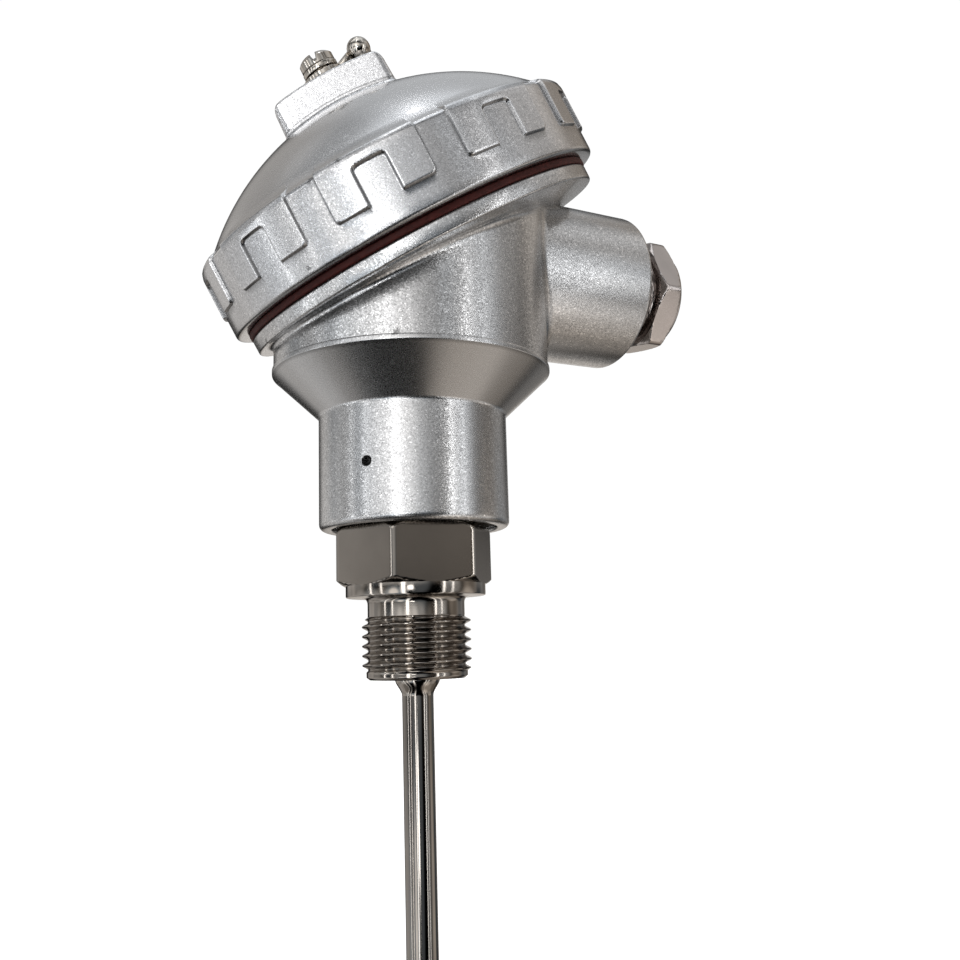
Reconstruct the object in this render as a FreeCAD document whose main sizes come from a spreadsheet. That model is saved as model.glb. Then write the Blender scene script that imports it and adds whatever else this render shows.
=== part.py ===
import math
import os

import FreeCAD
import Part
import Sketcher

# Resistance thermometer with a die-cast connection head.
# Millimetres. Z runs up the probe axis and its zero is the seat under the fitting's collar.
# X points out of the cable entry. The screw cap leans towards -X.

doc = FreeCAD.newDocument("rtd_probe")
sheet = doc.addObject("Spreadsheet::Sheet", "Sizes")

SIZES = {
    # process fitting
    "thread_radius": 10.4775,
    "thread_length": 15.5,
    "thread_relief_radius": 9.35,
    "thread_relief_length": 3.7,
    "thread_lead_in": 1.3,
    "weld_radius": 4.3,
    "weld_length": 2.0,
    "collar_radius": 13.5,
    "collar_height": 2.2,
    "hex_flats": 27,
    "hex_height": 12.8,
    "hex_bevel_drop": 0.9,
    "hex_bevel_inset": 1.6,
    "hex_turn": 50,
    "neck_thread_radius": 12,
    "neck_thread_length": 12,
    "neck_relief_radius": 10.9,
    "neck_relief_length": 1.8,
    "seal_thickness": 1.4,
    "seal_margin": 0.4,
    # probe
    "sheath_radius": 3,
    "sheath_wall": 0.8,
    "sheath_end_wall": 1.2,
    "sheath_end_rounding": 0.8,
    "insertion_length": 100,
    "element_radius": 1.5,
    "element_length": 15,
    "element_tip_gap": 0.3,
    "insulator_radius": 2,
    "insulator_stand": 2,
    "wire_radius": 0.5,
    "wire_centre_radius": 1.1,
    "wire_bend_radius": 3,
    "slip_gap": 0.05,
    # head casting
    "neck_bottom": 13,
    "neck_radius": 18.5,
    "neck_height": 22.2,
    "neck_rounding": 1.2,
    "neck_recess_radius": 16.1,
    "neck_recess_depth": 3.5,
    "neck_bore_radius": 10,
    "pin_hole_radius": 0.9,
    "pin_hole_level": 24,
    "pin_hole_angle": 52,
    "ring_radius": 27.5,
    "ring_level": 44.5,
    "ring_height": 1,
    "ring_step": 0.3,
    "cone_top_inset": 0.6,
    "cone_top_drop": 1.5,
    "body_wall": 3,
    "floor_level": 44,
    "flange_inset": 2.5,
    "flange_thickness": 3,
    "flange_bevel": 0.4,
    "flange_floor": 2.2,
    "cap_skirt_wall": 4.85,
    "spigot_wall": 3.4,
    "spigot_top": 11,
    "cap_tilt": 30,
    "cap_offset": 3.5,
    "cap_level": 66.5,
    "boss_radius": 16.8,
    "boss_level": 68,
    "boss_root": 20,
    "boss_end": 49,
    "boss_rounding": 0.9,
    "post_spacing": 33,
    "post_radius": 4,
    "post_height": 4,
    "post_hole_depth": 8,
    "chain_lug_radius": 3.8,
    "chain_lug_level": 48.8,
    "chain_lug_reach": 30.6,
    "chain_lug_angle": 20,
    "chain_hole_depth": 5.2,
    # screw cap, heights from the underside of the flange
    "cap_play": 0.08,
    "gasket_thickness": 1.35,
    "gasket_overhang": 0.15,
    "gasket_gap": 0.05,
    "cap_radius": 40.25,
    "cap_rim_rounding": 0.8,
    "cap_skirt_top": 16.9,
    "cap_skirt_draft": 0.25,
    "cap_thread_top": 12.2,
    "cap_thread_depth": 0.9,
    "dome_edge_inset": 1.55,
    "dome_edge_level": 18.55,
    "dome_apex": 35.7,
    "dome_wall": 3,
    "shoulder_rounding": 2.1,
    "relief_height": 0.6,
    "relief_bottom": 9.3,
    "relief_notch_top": 16.3,
    "relief_count": 10,
    "relief_crown_inset": 0.5,
    "cap_stop_angle": 32,
    "block_length": 24,
    "block_width": 13,
    "block_top": 42.5,
    "block_crown_radius": 72,
    "block_base": 33.2,
    "block_corner": 1.2,
    "block_hole_depth": 8.3,
    # chain and its screws
    "chain_screw_radius": 2,
    "chain_screw_length": 7.5,
    "chain_head_radius": 3.6,
    "chain_head_height": 2.7,
    "chain_slot_width": 0.9,
    "chain_slot_depth": 1.1,
    "spring_washer_radius": 3.7,
    "spring_washer_height": 1.4,
    "eyelet_radius": 4.3,
    "eyelet_thickness": 0.9,
    "eyelet_lift": 0.3,
    "eyelet_reach": 6,
    "eyelet_tab_width": 3.4,
    "anchor_reach": 6.8,
    "chain_play": 0.08,
    "ball_radius": 2.4,
    "ball_pitch": 6.3,
    "link_radius": 0.6,
    # cable gland
    "gland_thread_radius": 10,
    "gland_bore_depth": 15.8,
    "gland_seat_radius": 8.4,
    "gland_ledge": 3,
    "boss_hollow_radius": 9.5,
    "gland_seal_length": 8.8,
    "gland_seal_radius": 9.8,
    "gland_seal_bore": 5,
    "gland_washer_thickness": 1.5,
    "gland_washer_bore": 7,
    "gland_play": 0.08,
    "gland_stand_out": 6.1,
    "nut_flats": 23,
    "nut_height": 5.2,
    "nut_nose": 1.6,
    "nut_nose_radius": 10.9,
    "nut_bevel": 0.8,
    "nut_bore": 6.5,
    "nut_turn": 6.5,
    # terminals
    "block_radius": 20.5,
    "terminal_base": 5.5,
    "terminal_ribs": 4.5,
    "terminal_core_radius": 4,
    "terminal_lane": 7.6,
    "plate_width": 7,
    "plate_thickness": 1.2,
    "plate_start": 6.4,
    "plate_end": 19,
    "terminal_side_angle": 140,
    "inner_screw_radius": 9.5,
    "outer_screw_radius": 15.6,
    "terminal_screw_radius": 1.6,
    "terminal_screw_length": 5,
    "terminal_head_radius": 2.8,
    "terminal_head_height": 2,
    "terminal_clamp_gap": 1.05,
    "block_screw_radius": 2,
    "block_screw_length": 12,
    "block_head_radius": 3.6,
    "block_head_height": 2.4,
    "screw_pocket_radius": 5,
}


class Sized:
    # A length that carries its number and the sheet formula it comes from.
    def __init__(self, number, text):
        self.number = number
        self.text = text

    def join(self, other, sign, turned=False):
        other = sized(other)
        a, b = (other, self) if turned else (self, other)
        text = "(%s %s %s)" % (a.text, sign, b.text)
        number = {"+": a.number + b.number, "-": a.number - b.number, "*": a.number * b.number,
                  "/": a.number / b.number if b.number else 0.0}[sign]
        return Sized(number, text)

    def __add__(self, other):
        return self.join(other, "+")
    def __radd__(self, other):
        return self.join(other, "+", True)
    def __sub__(self, other):
        return self.join(other, "-")
    def __rsub__(self, other):
        return self.join(other, "-", True)
    def __mul__(self, other):
        return self.join(other, "*")
    def __rmul__(self, other):
        return self.join(other, "*", True)
    def __truediv__(self, other):
        return self.join(other, "/")
    def __neg__(self):
        return self.join(0, "-", True)


def sized(value):
    return value if isinstance(value, Sized) else Sized(float(value), "%g" % value)


def root(value):
    return Sized(math.sqrt(value.number), "sqrt(%s)" % value.text)


for row, (alias, number) in enumerate(SIZES.items(), start=1):
    sheet.set("A%d" % row, alias.replace("_", " "))
    sheet.set("B%d" % row, str(number))
    sheet.setAlias("B%d" % row, alias)
doc.recompute()


class Names:
    pass


z = Names()
for alias in SIZES:
    setattr(z, alias, Sized(float(getattr(sheet, alias)), "Sizes.%s" % alias))


def bind(item, path, value):
    if "Sizes." in sized(value).text:
        item.setExpression(path, value.text)


def origin_plane(body, role):
    return next(f for f in body.Origin.OriginFeatures if f.Role == role)


def new_body(label):
    body = doc.addObject("PartDesign::Body", label)
    body.Label = label
    return body


# Places a sketch on one of the body's own planes, shifted and turned within that plane's frame.
def new_sketch(body, name, plane="XZ_Plane", shift=(0, 0, 0), turn_axis=None, turn=0):
    sketch = body.newObject("Sketcher::SketchObject", name)
    sketch.AttachmentSupport = [(origin_plane(body, plane), "")]
    sketch.MapMode = "FlatFace"
    base = FreeCAD.Vector(*[sized(v).number for v in shift])
    rotation = FreeCAD.Rotation(FreeCAD.Vector(*turn_axis), sized(turn).number) if turn_axis else FreeCAD.Rotation()
    sketch.AttachmentOffset = FreeCAD.Placement(base, rotation)
    for letter, value in zip("xyz", shift):
        bind(sketch, "AttachmentOffset.Base." + letter, value)
    if turn_axis:
        bind(sketch, "AttachmentOffset.Rotation.Angle", turn)
    return sketch


# Holds one sketch point at its sized place.
def pin_point(sketch, geo, end, place):
    for kind, axis, value in (("DistanceX", -2, place[0]), ("DistanceY", -1, place[1])):
        value = sized(value)
        if value.text == "0":
            sketch.addConstraint(Sketcher.Constraint("PointOnObject", geo, end, axis))
            continue
        index = sketch.addConstraint(Sketcher.Constraint(kind, -1, 1, geo, end, value.number))
        bind(sketch, "Constraints[%d]" % index, value)


# A closed outline. Each point is (x, y) or (x, y, radius, side): the edge to the next point is then an arc
# of that radius, bulging to the left (side 1) or to the right (side -1) of the way it is drawn.
def outline(sketch, points):
    places = [FreeCAD.Vector(sized(p[0]).number, sized(p[1]).number, 0) for p in points]
    count = len(points)
    for i, point in enumerate(points):
        start, end = places[i], places[(i + 1) % count]
        if len(point) == 2:
            sketch.addGeometry(Part.LineSegment(start, end), False)
            continue
        radius, side = sized(point[2]).number, point[3]
        chord = end - start
        half = chord.Length / 2
        sagitta = radius - math.sqrt(max(radius * radius - half * half, 0))
        left = FreeCAD.Vector(-chord.y, chord.x, 0).normalize()
        middle = (start + end) * 0.5 + left * (side * sagitta)
        sketch.addGeometry(Part.Arc(start, middle, end), False)
    # An arc is always stored anticlockwise, so one that bulges left runs from its end point to its start point.
    ends = [(2, 1) if len(p) == 4 and p[3] == 1 else (1, 2) for p in points]
    for i in range(count):
        following = (i + 1) % count
        sketch.addConstraint(Sketcher.Constraint("Coincident", i, ends[i][1], following, ends[following][0]))
    for i, point in enumerate(points):
        pin_point(sketch, i, ends[i][0], point)
        if len(point) == 4:
            index = sketch.addConstraint(Sketcher.Constraint("Radius", i, sized(point[2]).number))
            bind(sketch, "Constraints[%d]" % index, point[2])
    return sketch


def circles(sketch, rings):
    for x, y, radius in rings:
        centre = FreeCAD.Vector(sized(x).number, sized(y).number, 0)
        index = sketch.addGeometry(Part.Circle(centre, FreeCAD.Vector(0, 0, 1), sized(radius).number), False)
        pin_point(sketch, index, 3, (x, y))
        size = sketch.addConstraint(Sketcher.Constraint("Radius", index, sized(radius).number))
        bind(sketch, "Constraints[%d]" % size, radius)
    return sketch


# A regular hexagon by its distance across flats; its first corner stands at the given turn.
def hexagon(sketch, flats, turn):
    reach = flats / root(sized(3))
    angles = [turn + 60 * k for k in range(6)]
    points = []
    for angle in angles:
        cosine = Sized(math.cos(math.radians(angle.number)), "cos(%s)" % angle.text)
        sine = Sized(math.sin(math.radians(angle.number)), "sin(%s)" % angle.text)
        points.append((reach * cosine, reach * sine))
    return outline(sketch, points)


def revolve(body, name, sketch, cut=False, angle=360, axis="V_Axis"):
    kind = "PartDesign::Groove" if cut else "PartDesign::Revolution"
    feature = body.newObject(kind, name)
    feature.Profile = sketch
    feature.ReferenceAxis = (sketch, [axis])
    feature.Angle = sized(angle).number
    bind(feature, "Angle", angle)
    if sized(angle).number < 360:
        feature.Midplane = True
    sketch.Visibility = False
    return feature


def pad(body, name, sketch, length, reverse=False, taper=0):
    feature = body.newObject("PartDesign::Pad", name)
    feature.Profile = sketch
    feature.Length = sized(length).number
    bind(feature, "Length", length)
    feature.Reversed = reverse
    feature.TaperAngle = taper
    return feature


# Removes the sketch's area; the volume is compared so that a cut that misses the solid is noticed.
def pocket(body, name, sketch, length, reverse=False):
    doc.recompute()
    before = body.Shape.Volume
    feature = body.newObject("PartDesign::Pocket", name)
    feature.Profile = sketch
    feature.Length = sized(length).number
    bind(feature, "Length", length)
    feature.Reversed = reverse
    doc.recompute()
    if before - body.Shape.Volume < 1e-3:
        raise RuntimeError("pocket %s cuts nothing" % name)
    return feature


def polar(body, name, originals, count):
    feature = body.newObject("PartDesign::PolarPattern", name)
    feature.Originals = originals
    feature.Axis = (origin_axis(body, "Z_Axis"), [""])
    feature.Angle = 360
    feature.Occurrences = int(sized(count).number)
    bind(feature, "Occurrences", count)
    body.Tip = feature
    return feature


def origin_axis(body, role):
    return next(f for f in body.Origin.OriginFeatures if f.Role == role)


def place(item, x=0, y=0, up=0, axis=(0, 0, 1), turn=0):
    base = FreeCAD.Vector(sized(x).number, sized(y).number, sized(up).number)
    item.Placement = FreeCAD.Placement(base, FreeCAD.Rotation(FreeCAD.Vector(*axis), sized(turn).number))
    for letter, value in zip("xyz", (x, y, up)):
        bind(item, "Placement.Base." + letter, value)
    bind(item, "Placement.Rotation.Angle", turn)


# The cap's frame: origin in the middle of the flange's underside, Z along the cap's axis.
def place_on_cap(item):
    place(item, z.cap_offset, 0, z.cap_level, (0, -1, 0), z.cap_tilt)


def corner_bevel(body, name, radius, level, inset, drop, upward):
    # turned bevel on a hexagon's corners: a groove with a triangular section
    edge = level - drop if upward else level + drop
    sketch = outline(new_sketch(body, name + "_sketch"),
                     [(radius - inset, level), (radius + 3, level), (radius + 3, edge - (3 * drop / inset)
                       if upward else edge + (3 * drop / inset))])
    return revolve(body, name, sketch, cut=True)


hex_bottom = z.collar_height
hex_top = hex_bottom + z.hex_height
fitting_top = hex_top + z.neck_thread_length
# the cap's radius sets the flange, the threaded spigot, the gasket and the dome
flange_radius = z.cap_radius - z.flange_inset
spigot_radius = z.cap_radius - z.cap_skirt_wall
spigot_bore_radius = spigot_radius - z.spigot_wall
gasket_radius = flange_radius + z.gasket_overhang
cap_inner_radius = spigot_radius - z.cap_thread_depth
dome_edge_radius = z.cap_radius - z.dome_edge_inset
sheath_bore = z.sheath_radius + z.slip_gap
recess_top = z.neck_bottom + z.neck_recess_depth
body_radius = z.ring_radius - z.ring_step
cavity_radius = body_radius - z.body_wall
gland_floor = z.boss_end - z.gland_bore_depth


def make_process_fitting():
    body = new_body("process_fitting")
    tip = -z.thread_length
    thread_end = z.thread_radius - z.thread_lead_in
    sketch = outline(new_sketch(body, "fitting_profile"), [
        (z.sheath_radius, tip - z.weld_length),
        (z.weld_radius, tip),
        (thread_end, tip),
        (z.thread_radius, tip + z.thread_lead_in),
        (z.thread_radius, -z.thread_relief_length),
        (z.thread_relief_radius, -z.thread_relief_length),
        (z.thread_relief_radius, 0),
        (z.collar_radius, 0),
        (z.collar_radius, hex_bottom),
        (z.collar_radius - 1, hex_bottom + 1),
        (z.collar_radius - 1, hex_top),
        (z.neck_relief_radius, hex_top),
        (z.neck_relief_radius, hex_top + z.neck_relief_length),
        (z.neck_thread_radius, hex_top + z.neck_relief_length),
        (z.neck_thread_radius, fitting_top - 1),
        (z.neck_thread_radius - 1, fitting_top),
        (sheath_bore, fitting_top),
        (sheath_bore, tip),
        (z.sheath_radius, tip),
    ])
    revolve(body, "turned_blank", sketch)
    flats = hexagon(new_sketch(body, "hex_sketch", "XY_Plane", (0, 0, hex_bottom)), z.hex_flats, z.hex_turn)
    pad(body, "hexagon", flats, z.hex_height)
    bore = circles(new_sketch(body, "bore_sketch", "XY_Plane", (0, 0, fitting_top)), [(0, 0, sheath_bore)])
    pocket(body, "sheath_bore", bore, fitting_top + z.thread_length)
    corner = z.hex_flats / root(sized(3))
    corner_bevel(body, "upper_bevel", corner, hex_top, z.hex_bevel_inset, z.hex_bevel_drop, True)
    corner_bevel(body, "lower_bevel", corner, hex_bottom, z.hex_bevel_inset, z.hex_bevel_drop, False)
    return body


def make_fitting_seal():
    body = new_body("fitting_seal")
    sketch = circles(new_sketch(body, "seal_rings", "XY_Plane", (0, 0, hex_top + z.slip_gap)), [
        (0, 0, z.neck_recess_radius - z.seal_margin),
        (0, 0, z.neck_thread_radius + z.seal_margin)])
    pad(body, "seal_ring", sketch, z.seal_thickness)
    return body


def make_probe_sheath():
    body = new_body("probe_sheath")
    inner = z.sheath_radius - z.sheath_wall
    bottom = -z.insertion_length
    sketch = outline(new_sketch(body, "sheath_profile"), [
        (0, bottom),
        (z.sheath_radius - z.sheath_end_rounding, bottom, z.sheath_end_rounding, -1),
        (z.sheath_radius, bottom + z.sheath_end_rounding),
        (z.sheath_radius, fitting_top),
        (inner, fitting_top),
        (inner, bottom + z.sheath_end_wall),
        (0, bottom + z.sheath_end_wall)])
    revolve(body, "sheath_tube", sketch)
    return body


element_bottom = z.sheath_end_wall + z.element_tip_gap - z.insertion_length
element_top = element_bottom + z.element_length


def make_sensing_element():
    body = new_body("sensing_element")
    sketch = circles(new_sketch(body, "element_circle", "XY_Plane", (0, 0, element_bottom)),
                     [(0, 0, z.element_radius)])
    pad(body, "element_rod", sketch, z.element_length)
    return body


def make_wire_insulator():
    body = new_body("wire_insulator")
    bore = z.wire_radius + z.slip_gap
    across = z.wire_centre_radius * root(sized(3)) / 2
    sketch = circles(new_sketch(body, "insulator_section", "XY_Plane", (0, 0, element_top)), [
        (0, 0, z.insulator_radius),
        (z.wire_centre_radius, 0, bore),
        (-z.wire_centre_radius / 2, across, bore),
        (-z.wire_centre_radius / 2, -across, bore)])
    pad(body, "insulator_rod", sketch, fitting_top + z.insulator_stand - element_top)
    return body


block_floor = z.floor_level + z.post_height
lane_floor = block_floor + z.terminal_base
plate_top = lane_floor + z.plate_thickness
block_top = lane_floor + z.terminal_ribs
head_seat = plate_top + z.terminal_clamp_gap
TERMINAL_SIDES = (0, 1, -1)


def lane_turn(side):
    return z.terminal_side_angle * side


# Three wires: straight up out of their bores, then bent over to the inner clamp screws.
def make_lead_wires():
    radius = z.wire_radius.number
    bend = z.wire_bend_radius.number
    level = plate_top.number + radius + z.slip_gap.number
    reach = (z.inner_screw_radius - z.terminal_screw_radius - z.slip_gap - z.slip_gap).number
    start = z.wire_centre_radius.number
    bottom = element_top.number
    turns = [0, 120, -120]
    solids = []
    for turn, side in zip(turns, TERMINAL_SIDES):
        corner = FreeCAD.Vector(start, 0, level)
        foot = FreeCAD.Vector(start, 0, bottom)
        low = FreeCAD.Vector(start, 0, level - bend)
        high = FreeCAD.Vector(start + bend, 0, level)
        middle = FreeCAD.Vector(start + bend - bend * math.cos(math.pi / 4), 0,
                                level - bend + bend * math.sin(math.pi / 4))
        end = FreeCAD.Vector(reach, 0, level)
        path = Part.Wire([Part.LineSegment(foot, low).toShape(), Part.Arc(low, middle, high).toShape(),
                          Part.LineSegment(high, end).toShape()])
        section = Part.Wire([Part.makeCircle(radius, foot, FreeCAD.Vector(0, 0, 1))])
        solid = path.makePipeShell([section], True, True)
        solid.rotate(FreeCAD.Vector(0, 0, 0), FreeCAD.Vector(0, 0, 1), turn)
        solids.append(solid)
    wires = doc.addObject("Part::Feature", "lead_wires")
    wires.Label = "lead_wires"
    wires.Shape = Part.makeCompound(solids)
    return wires


# Ceramic puck with three radial lanes for the terminals and two screw pockets.
def make_terminal_block():
    body = new_body("terminal_block")
    base = circles(new_sketch(body, "puck_rings", "XY_Plane", (0, 0, block_floor)), [
        (0, 0, z.block_radius), (0, 0, z.terminal_core_radius)])
    pad(body, "puck", base, z.terminal_base + z.terminal_ribs)
    half = z.terminal_lane / 2
    far = z.block_radius + 2
    for number, side in enumerate(TERMINAL_SIDES, start=1):
        lane = new_sketch(body, "lane_%d" % number, "XY_Plane", (0, 0, block_top), (0, 0, 1), lane_turn(side))
        outline(lane, [(0, -half), (far, -half), (far, half), (0, half)])
        pocket(body, "lane_cut_%d" % number, lane, z.terminal_ribs)
        holes = new_sketch(body, "tapping_%d" % number, "XY_Plane", (0, 0, lane_floor), (0, 0, 1), lane_turn(side))
        tapped = z.terminal_screw_radius + z.slip_gap
        circles(holes, [(z.inner_screw_radius, 0, tapped), (z.outer_screw_radius, 0, tapped)])
        pocket(body, "tapped_holes_%d" % number, holes, z.terminal_screw_length)
    spacing = z.post_spacing / 2
    pockets = circles(new_sketch(body, "pocket_circles", "XY_Plane", (0, 0, block_top)), [
        (0, spacing, z.screw_pocket_radius), (0, -spacing, z.screw_pocket_radius)])
    pocket(body, "screw_pockets", pockets, z.terminal_ribs)
    through = z.block_screw_radius + z.slip_gap * 4
    holes = circles(new_sketch(body, "mounting_circles", "XY_Plane", (0, 0, lane_floor)), [
        (0, spacing, through), (0, -spacing, through)])
    pocket(body, "mounting_holes", holes, z.terminal_base)
    return body


def make_terminal_plate(number, side):
    label = "terminal_plate_%d" % number
    body = new_body(label)
    half = z.plate_width / 2
    sketch = outline(new_sketch(body, label + "_outline", "XY_Plane"), [
        (z.plate_start, -half), (z.plate_end, -half), (z.plate_end, half), (z.plate_start, half)])
    pad(body, label + "_strip", sketch, z.plate_thickness)
    hole = z.terminal_screw_radius + z.slip_gap
    holes = circles(new_sketch(body, label + "_circles", "XY_Plane", (0, 0, z.plate_thickness)), [
        (z.inner_screw_radius, 0, hole), (z.outer_screw_radius, 0, hole)])
    pocket(body, label + "_holes", holes, z.plate_thickness)
    place(body, 0, 0, lane_floor, turn=lane_turn(side))
    return body


# A slotted screw standing on its head's seat: shank down, head up, at a radius on its own turned frame.
def make_screw(label, shank_radius, shank_length, head_radius, head_height, slot_width, slot_depth, out, crossed):
    body = new_body(label)
    sketch = outline(new_sketch(body, label + "_profile", "XZ_Plane", (out, 0, 0)), [
        (0, -shank_length), (shank_radius, -shank_length), (shank_radius, 0), (head_radius, 0),
        (head_radius, head_height * 0.6, head_radius, -1),
        (head_radius * 0.55, head_height), (0, head_height)])
    revolve(body, label + "_turned", sketch)
    wide, half = head_radius + 1, slot_width / 2
    slots = [[(-wide, -half), (wide, -half), (wide, half), (-wide, half)]]
    if crossed:
        slots.append([(-half, -wide), (half, -wide), (half, wide), (-half, wide)])
    for number, slot in enumerate(slots, start=1):
        cut = outline(new_sketch(body, "%s_slot_%d" % (label, number), "XY_Plane", (out, 0, head_height)), slot)
        pocket(body, "%s_slot_cut_%d" % (label, number), cut, slot_depth)
    return body


def make_terminal_screws():
    screws = []
    for lane, side in enumerate(TERMINAL_SIDES):
        for row, circle in enumerate((z.inner_screw_radius, z.outer_screw_radius)):
            screw = make_screw("terminal_screw_%d" % (2 * lane + row + 1), z.terminal_screw_radius,
                               z.terminal_screw_length, z.terminal_head_radius, z.terminal_head_height,
                               z.chain_slot_width, z.chain_slot_depth, circle, False)
            place(screw, 0, 0, head_seat, turn=lane_turn(side))
            screws.append(screw)
    return screws


def make_block_screws():
    screws = []
    for number, turn in enumerate((90, -90), start=1):
        screw = make_screw("block_screw_%d" % number, z.block_screw_radius, z.block_screw_length,
                           z.block_head_radius, z.block_head_height, z.chain_slot_width, z.chain_slot_depth,
                           z.post_spacing / 2, True)
        place(screw, 0, 0, lane_floor, turn=turn)
        screws.append(screw)
    return screws


def cosine_of(angle):
    return Sized(math.cos(math.radians(angle.number)), "cos(%s)" % angle.text)


def sine_of(angle):
    return Sized(math.sin(math.radians(angle.number)), "sin(%s)" % angle.text)


cap_axis = (0, -1, 0)


def tilted_sketch(body, name, height):
    # the plane lies square to the cap's axis, at a height above the flange's underside
    shift = (z.cap_offset - height * sine_of(z.cap_tilt), 0, z.cap_level + height * cosine_of(z.cap_tilt))
    return new_sketch(body, name, "XY_Plane", shift, cap_axis, z.cap_tilt)


# A plane square to the chain lug's own axis, at a distance from the probe axis.
def lug_sketch(body, name, distance):
    shift = (distance * sine_of(z.chain_lug_angle), 0, -distance * cosine_of(z.chain_lug_angle))
    return new_sketch(body, name, "XZ_Plane", shift, (0, -1, 0), z.chain_lug_angle)


# Head casting: neck, cone, round body, flange, threaded spigot and cable boss in one piece.
def make_head_housing():
    body = new_body("head_housing")
    neck_top = z.neck_bottom + z.neck_height
    summit = z.cap_level + flange_radius
    sketch = outline(new_sketch(body, "casting_profile"), [
        (0, z.neck_bottom),
        (z.neck_radius - z.neck_rounding, z.neck_bottom, z.neck_rounding, -1),
        (z.neck_radius, z.neck_bottom + z.neck_rounding),
        (z.neck_radius, neck_top),
        (z.ring_radius - z.cone_top_inset, z.ring_level - z.cone_top_drop),
        (z.ring_radius, z.ring_level - z.ring_height),
        (z.ring_radius, z.ring_level),
        (body_radius, z.ring_level),
        (body_radius, summit),
        (0, summit)])
    revolve(body, "casting", sketch)
    above = circles(tilted_sketch(body, "slant_circle", sized(0)), [(0, 0, flange_radius * 2)])
    pocket(body, "slant_cut", above, flange_radius * 3, reverse=True)
    boss = circles(new_sketch(body, "boss_circle", "YZ_Plane", (0, 0, z.boss_root)),
                   [(0, z.boss_level, z.boss_radius)])
    pad(body, "cable_boss", boss, z.boss_end - z.boss_root)
    flange = circles(tilted_sketch(body, "flange_circle", sized(0)), [(0, 0, flange_radius)])
    pad(body, "flange", flange, z.flange_thickness)
    spigot = circles(tilted_sketch(body, "spigot_circle", z.flange_thickness), [(0, 0, spigot_radius)])
    pad(body, "spigot", spigot, z.spigot_top - z.flange_thickness)
    lug_root = cavity_radius + z.body_wall / 3
    lug = circles(lug_sketch(body, "lug_circle", lug_root), [(0, z.chain_lug_level, z.chain_lug_radius)])
    pad(body, "chain_lug", lug, z.chain_lug_reach - lug_root, reverse=True)
    cavity = circles(new_sketch(body, "cavity_circle", "XY_Plane", (0, 0, z.floor_level)), [(0, 0, cavity_radius)])
    pocket(body, "cavity", cavity, flange_radius * 3, reverse=True)
    mouth = circles(tilted_sketch(body, "mouth_circle", z.flange_floor), [(0, 0, spigot_bore_radius)])
    pocket(body, "mouth", mouth, z.spigot_top, reverse=True)
    tapped = z.neck_thread_radius + z.slip_gap
    bore = outline(new_sketch(body, "neck_bore_profile"), [
        (0, z.neck_bottom - 1),
        (z.neck_recess_radius, z.neck_bottom - 1),
        (z.neck_recess_radius, recess_top),
        (tapped, recess_top),
        (tapped, fitting_top + z.neck_relief_length),
        (z.neck_bore_radius, fitting_top + z.neck_relief_length),
        (z.neck_bore_radius, z.floor_level + 1),
        (0, z.floor_level + 1)])
    revolve(body, "neck_bore", bore, cut=True)
    gland = circles(new_sketch(body, "gland_circle", "YZ_Plane", (0, 0, z.boss_end)),
                    [(0, z.boss_level, z.gland_thread_radius + z.slip_gap)])
    pocket(body, "gland_bore", gland, z.gland_bore_depth)
    seat = circles(new_sketch(body, "gland_seat_circle", "YZ_Plane", (0, 0, z.boss_end)),
                   [(0, z.boss_level, z.gland_seat_radius)])
    pocket(body, "cable_way", seat, z.boss_end - z.boss_root)
    ledge = gland_floor - z.gland_ledge
    hollow = circles(new_sketch(body, "boss_hollow_circle", "YZ_Plane", (0, 0, ledge)),
                     [(0, z.boss_level, z.boss_hollow_radius)])
    pocket(body, "boss_hollow", hollow, ledge - z.boss_root)
    spacing = z.post_spacing / 2
    posts = circles(new_sketch(body, "post_circles", "XY_Plane", (0, 0, z.floor_level)), [
        (0, spacing, z.post_radius), (0, -spacing, z.post_radius)])
    pad(body, "block_posts", posts, z.post_height)
    tapped = z.block_screw_radius + z.slip_gap
    holes = circles(new_sketch(body, "post_holes", "XY_Plane", (0, 0, block_floor)), [
        (0, spacing, tapped), (0, -spacing, tapped)])
    pocket(body, "tapped_posts", holes, z.post_hole_depth)
    anchor = circles(lug_sketch(body, "anchor_circle", z.chain_lug_reach),
                     [(0, z.chain_lug_level, z.chain_screw_radius + z.slip_gap)])
    pocket(body, "anchor_hole", anchor, z.chain_hole_depth, reverse=True)
    pin_plane = new_sketch(body, "pin_circle", "XZ_Plane", (0, z.pin_hole_level, 0), (0, -1, 0), z.pin_hole_angle)
    pin = circles(pin_plane, [(0, 0, z.pin_hole_radius)])
    pocket(body, "pin_hole", pin, z.neck_radius + 1, reverse=True)
    finish_edges(body)
    return body


# The circular edges of the casting with a given radius whose centre passes a test.
def ring_edges(body, radius, fits):
    doc.recompute()
    names = []
    for index, edge in enumerate(body.Shape.Edges, start=1):
        circle = edge.Curve
        if not isinstance(circle, Part.Circle) or abs(circle.Radius - radius.number) > 1e-4:
            continue
        if fits(circle.Center):
            names.append("Edge%d" % index)
    return names


# Rounds the boss's outer rim and bevels the flange's upper edge.
def finish_edges(body):
    rim = ring_edges(body, z.boss_radius, lambda centre: abs(centre.x - z.boss_end.number) < 1e-3)
    before = body.Tip
    rounding = body.newObject("PartDesign::Fillet", "boss_rounding_edge")
    rounding.Base = (before, rim)
    rounding.Radius = z.boss_rounding.number
    bind(rounding, "Radius", z.boss_rounding)
    upper = ring_edges(body, flange_radius, lambda centre: centre.z > z.cap_level.number + 1)
    before = body.Tip
    bevel = body.newObject("PartDesign::Chamfer", "flange_bevel_edge")
    bevel.Base = (before, upper)
    bevel.Size = z.flange_bevel.number
    bind(bevel, "Size", z.flange_bevel)


rim_level = z.flange_thickness + z.gasket_thickness
cap_bottom = rim_level + z.gasket_gap


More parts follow.
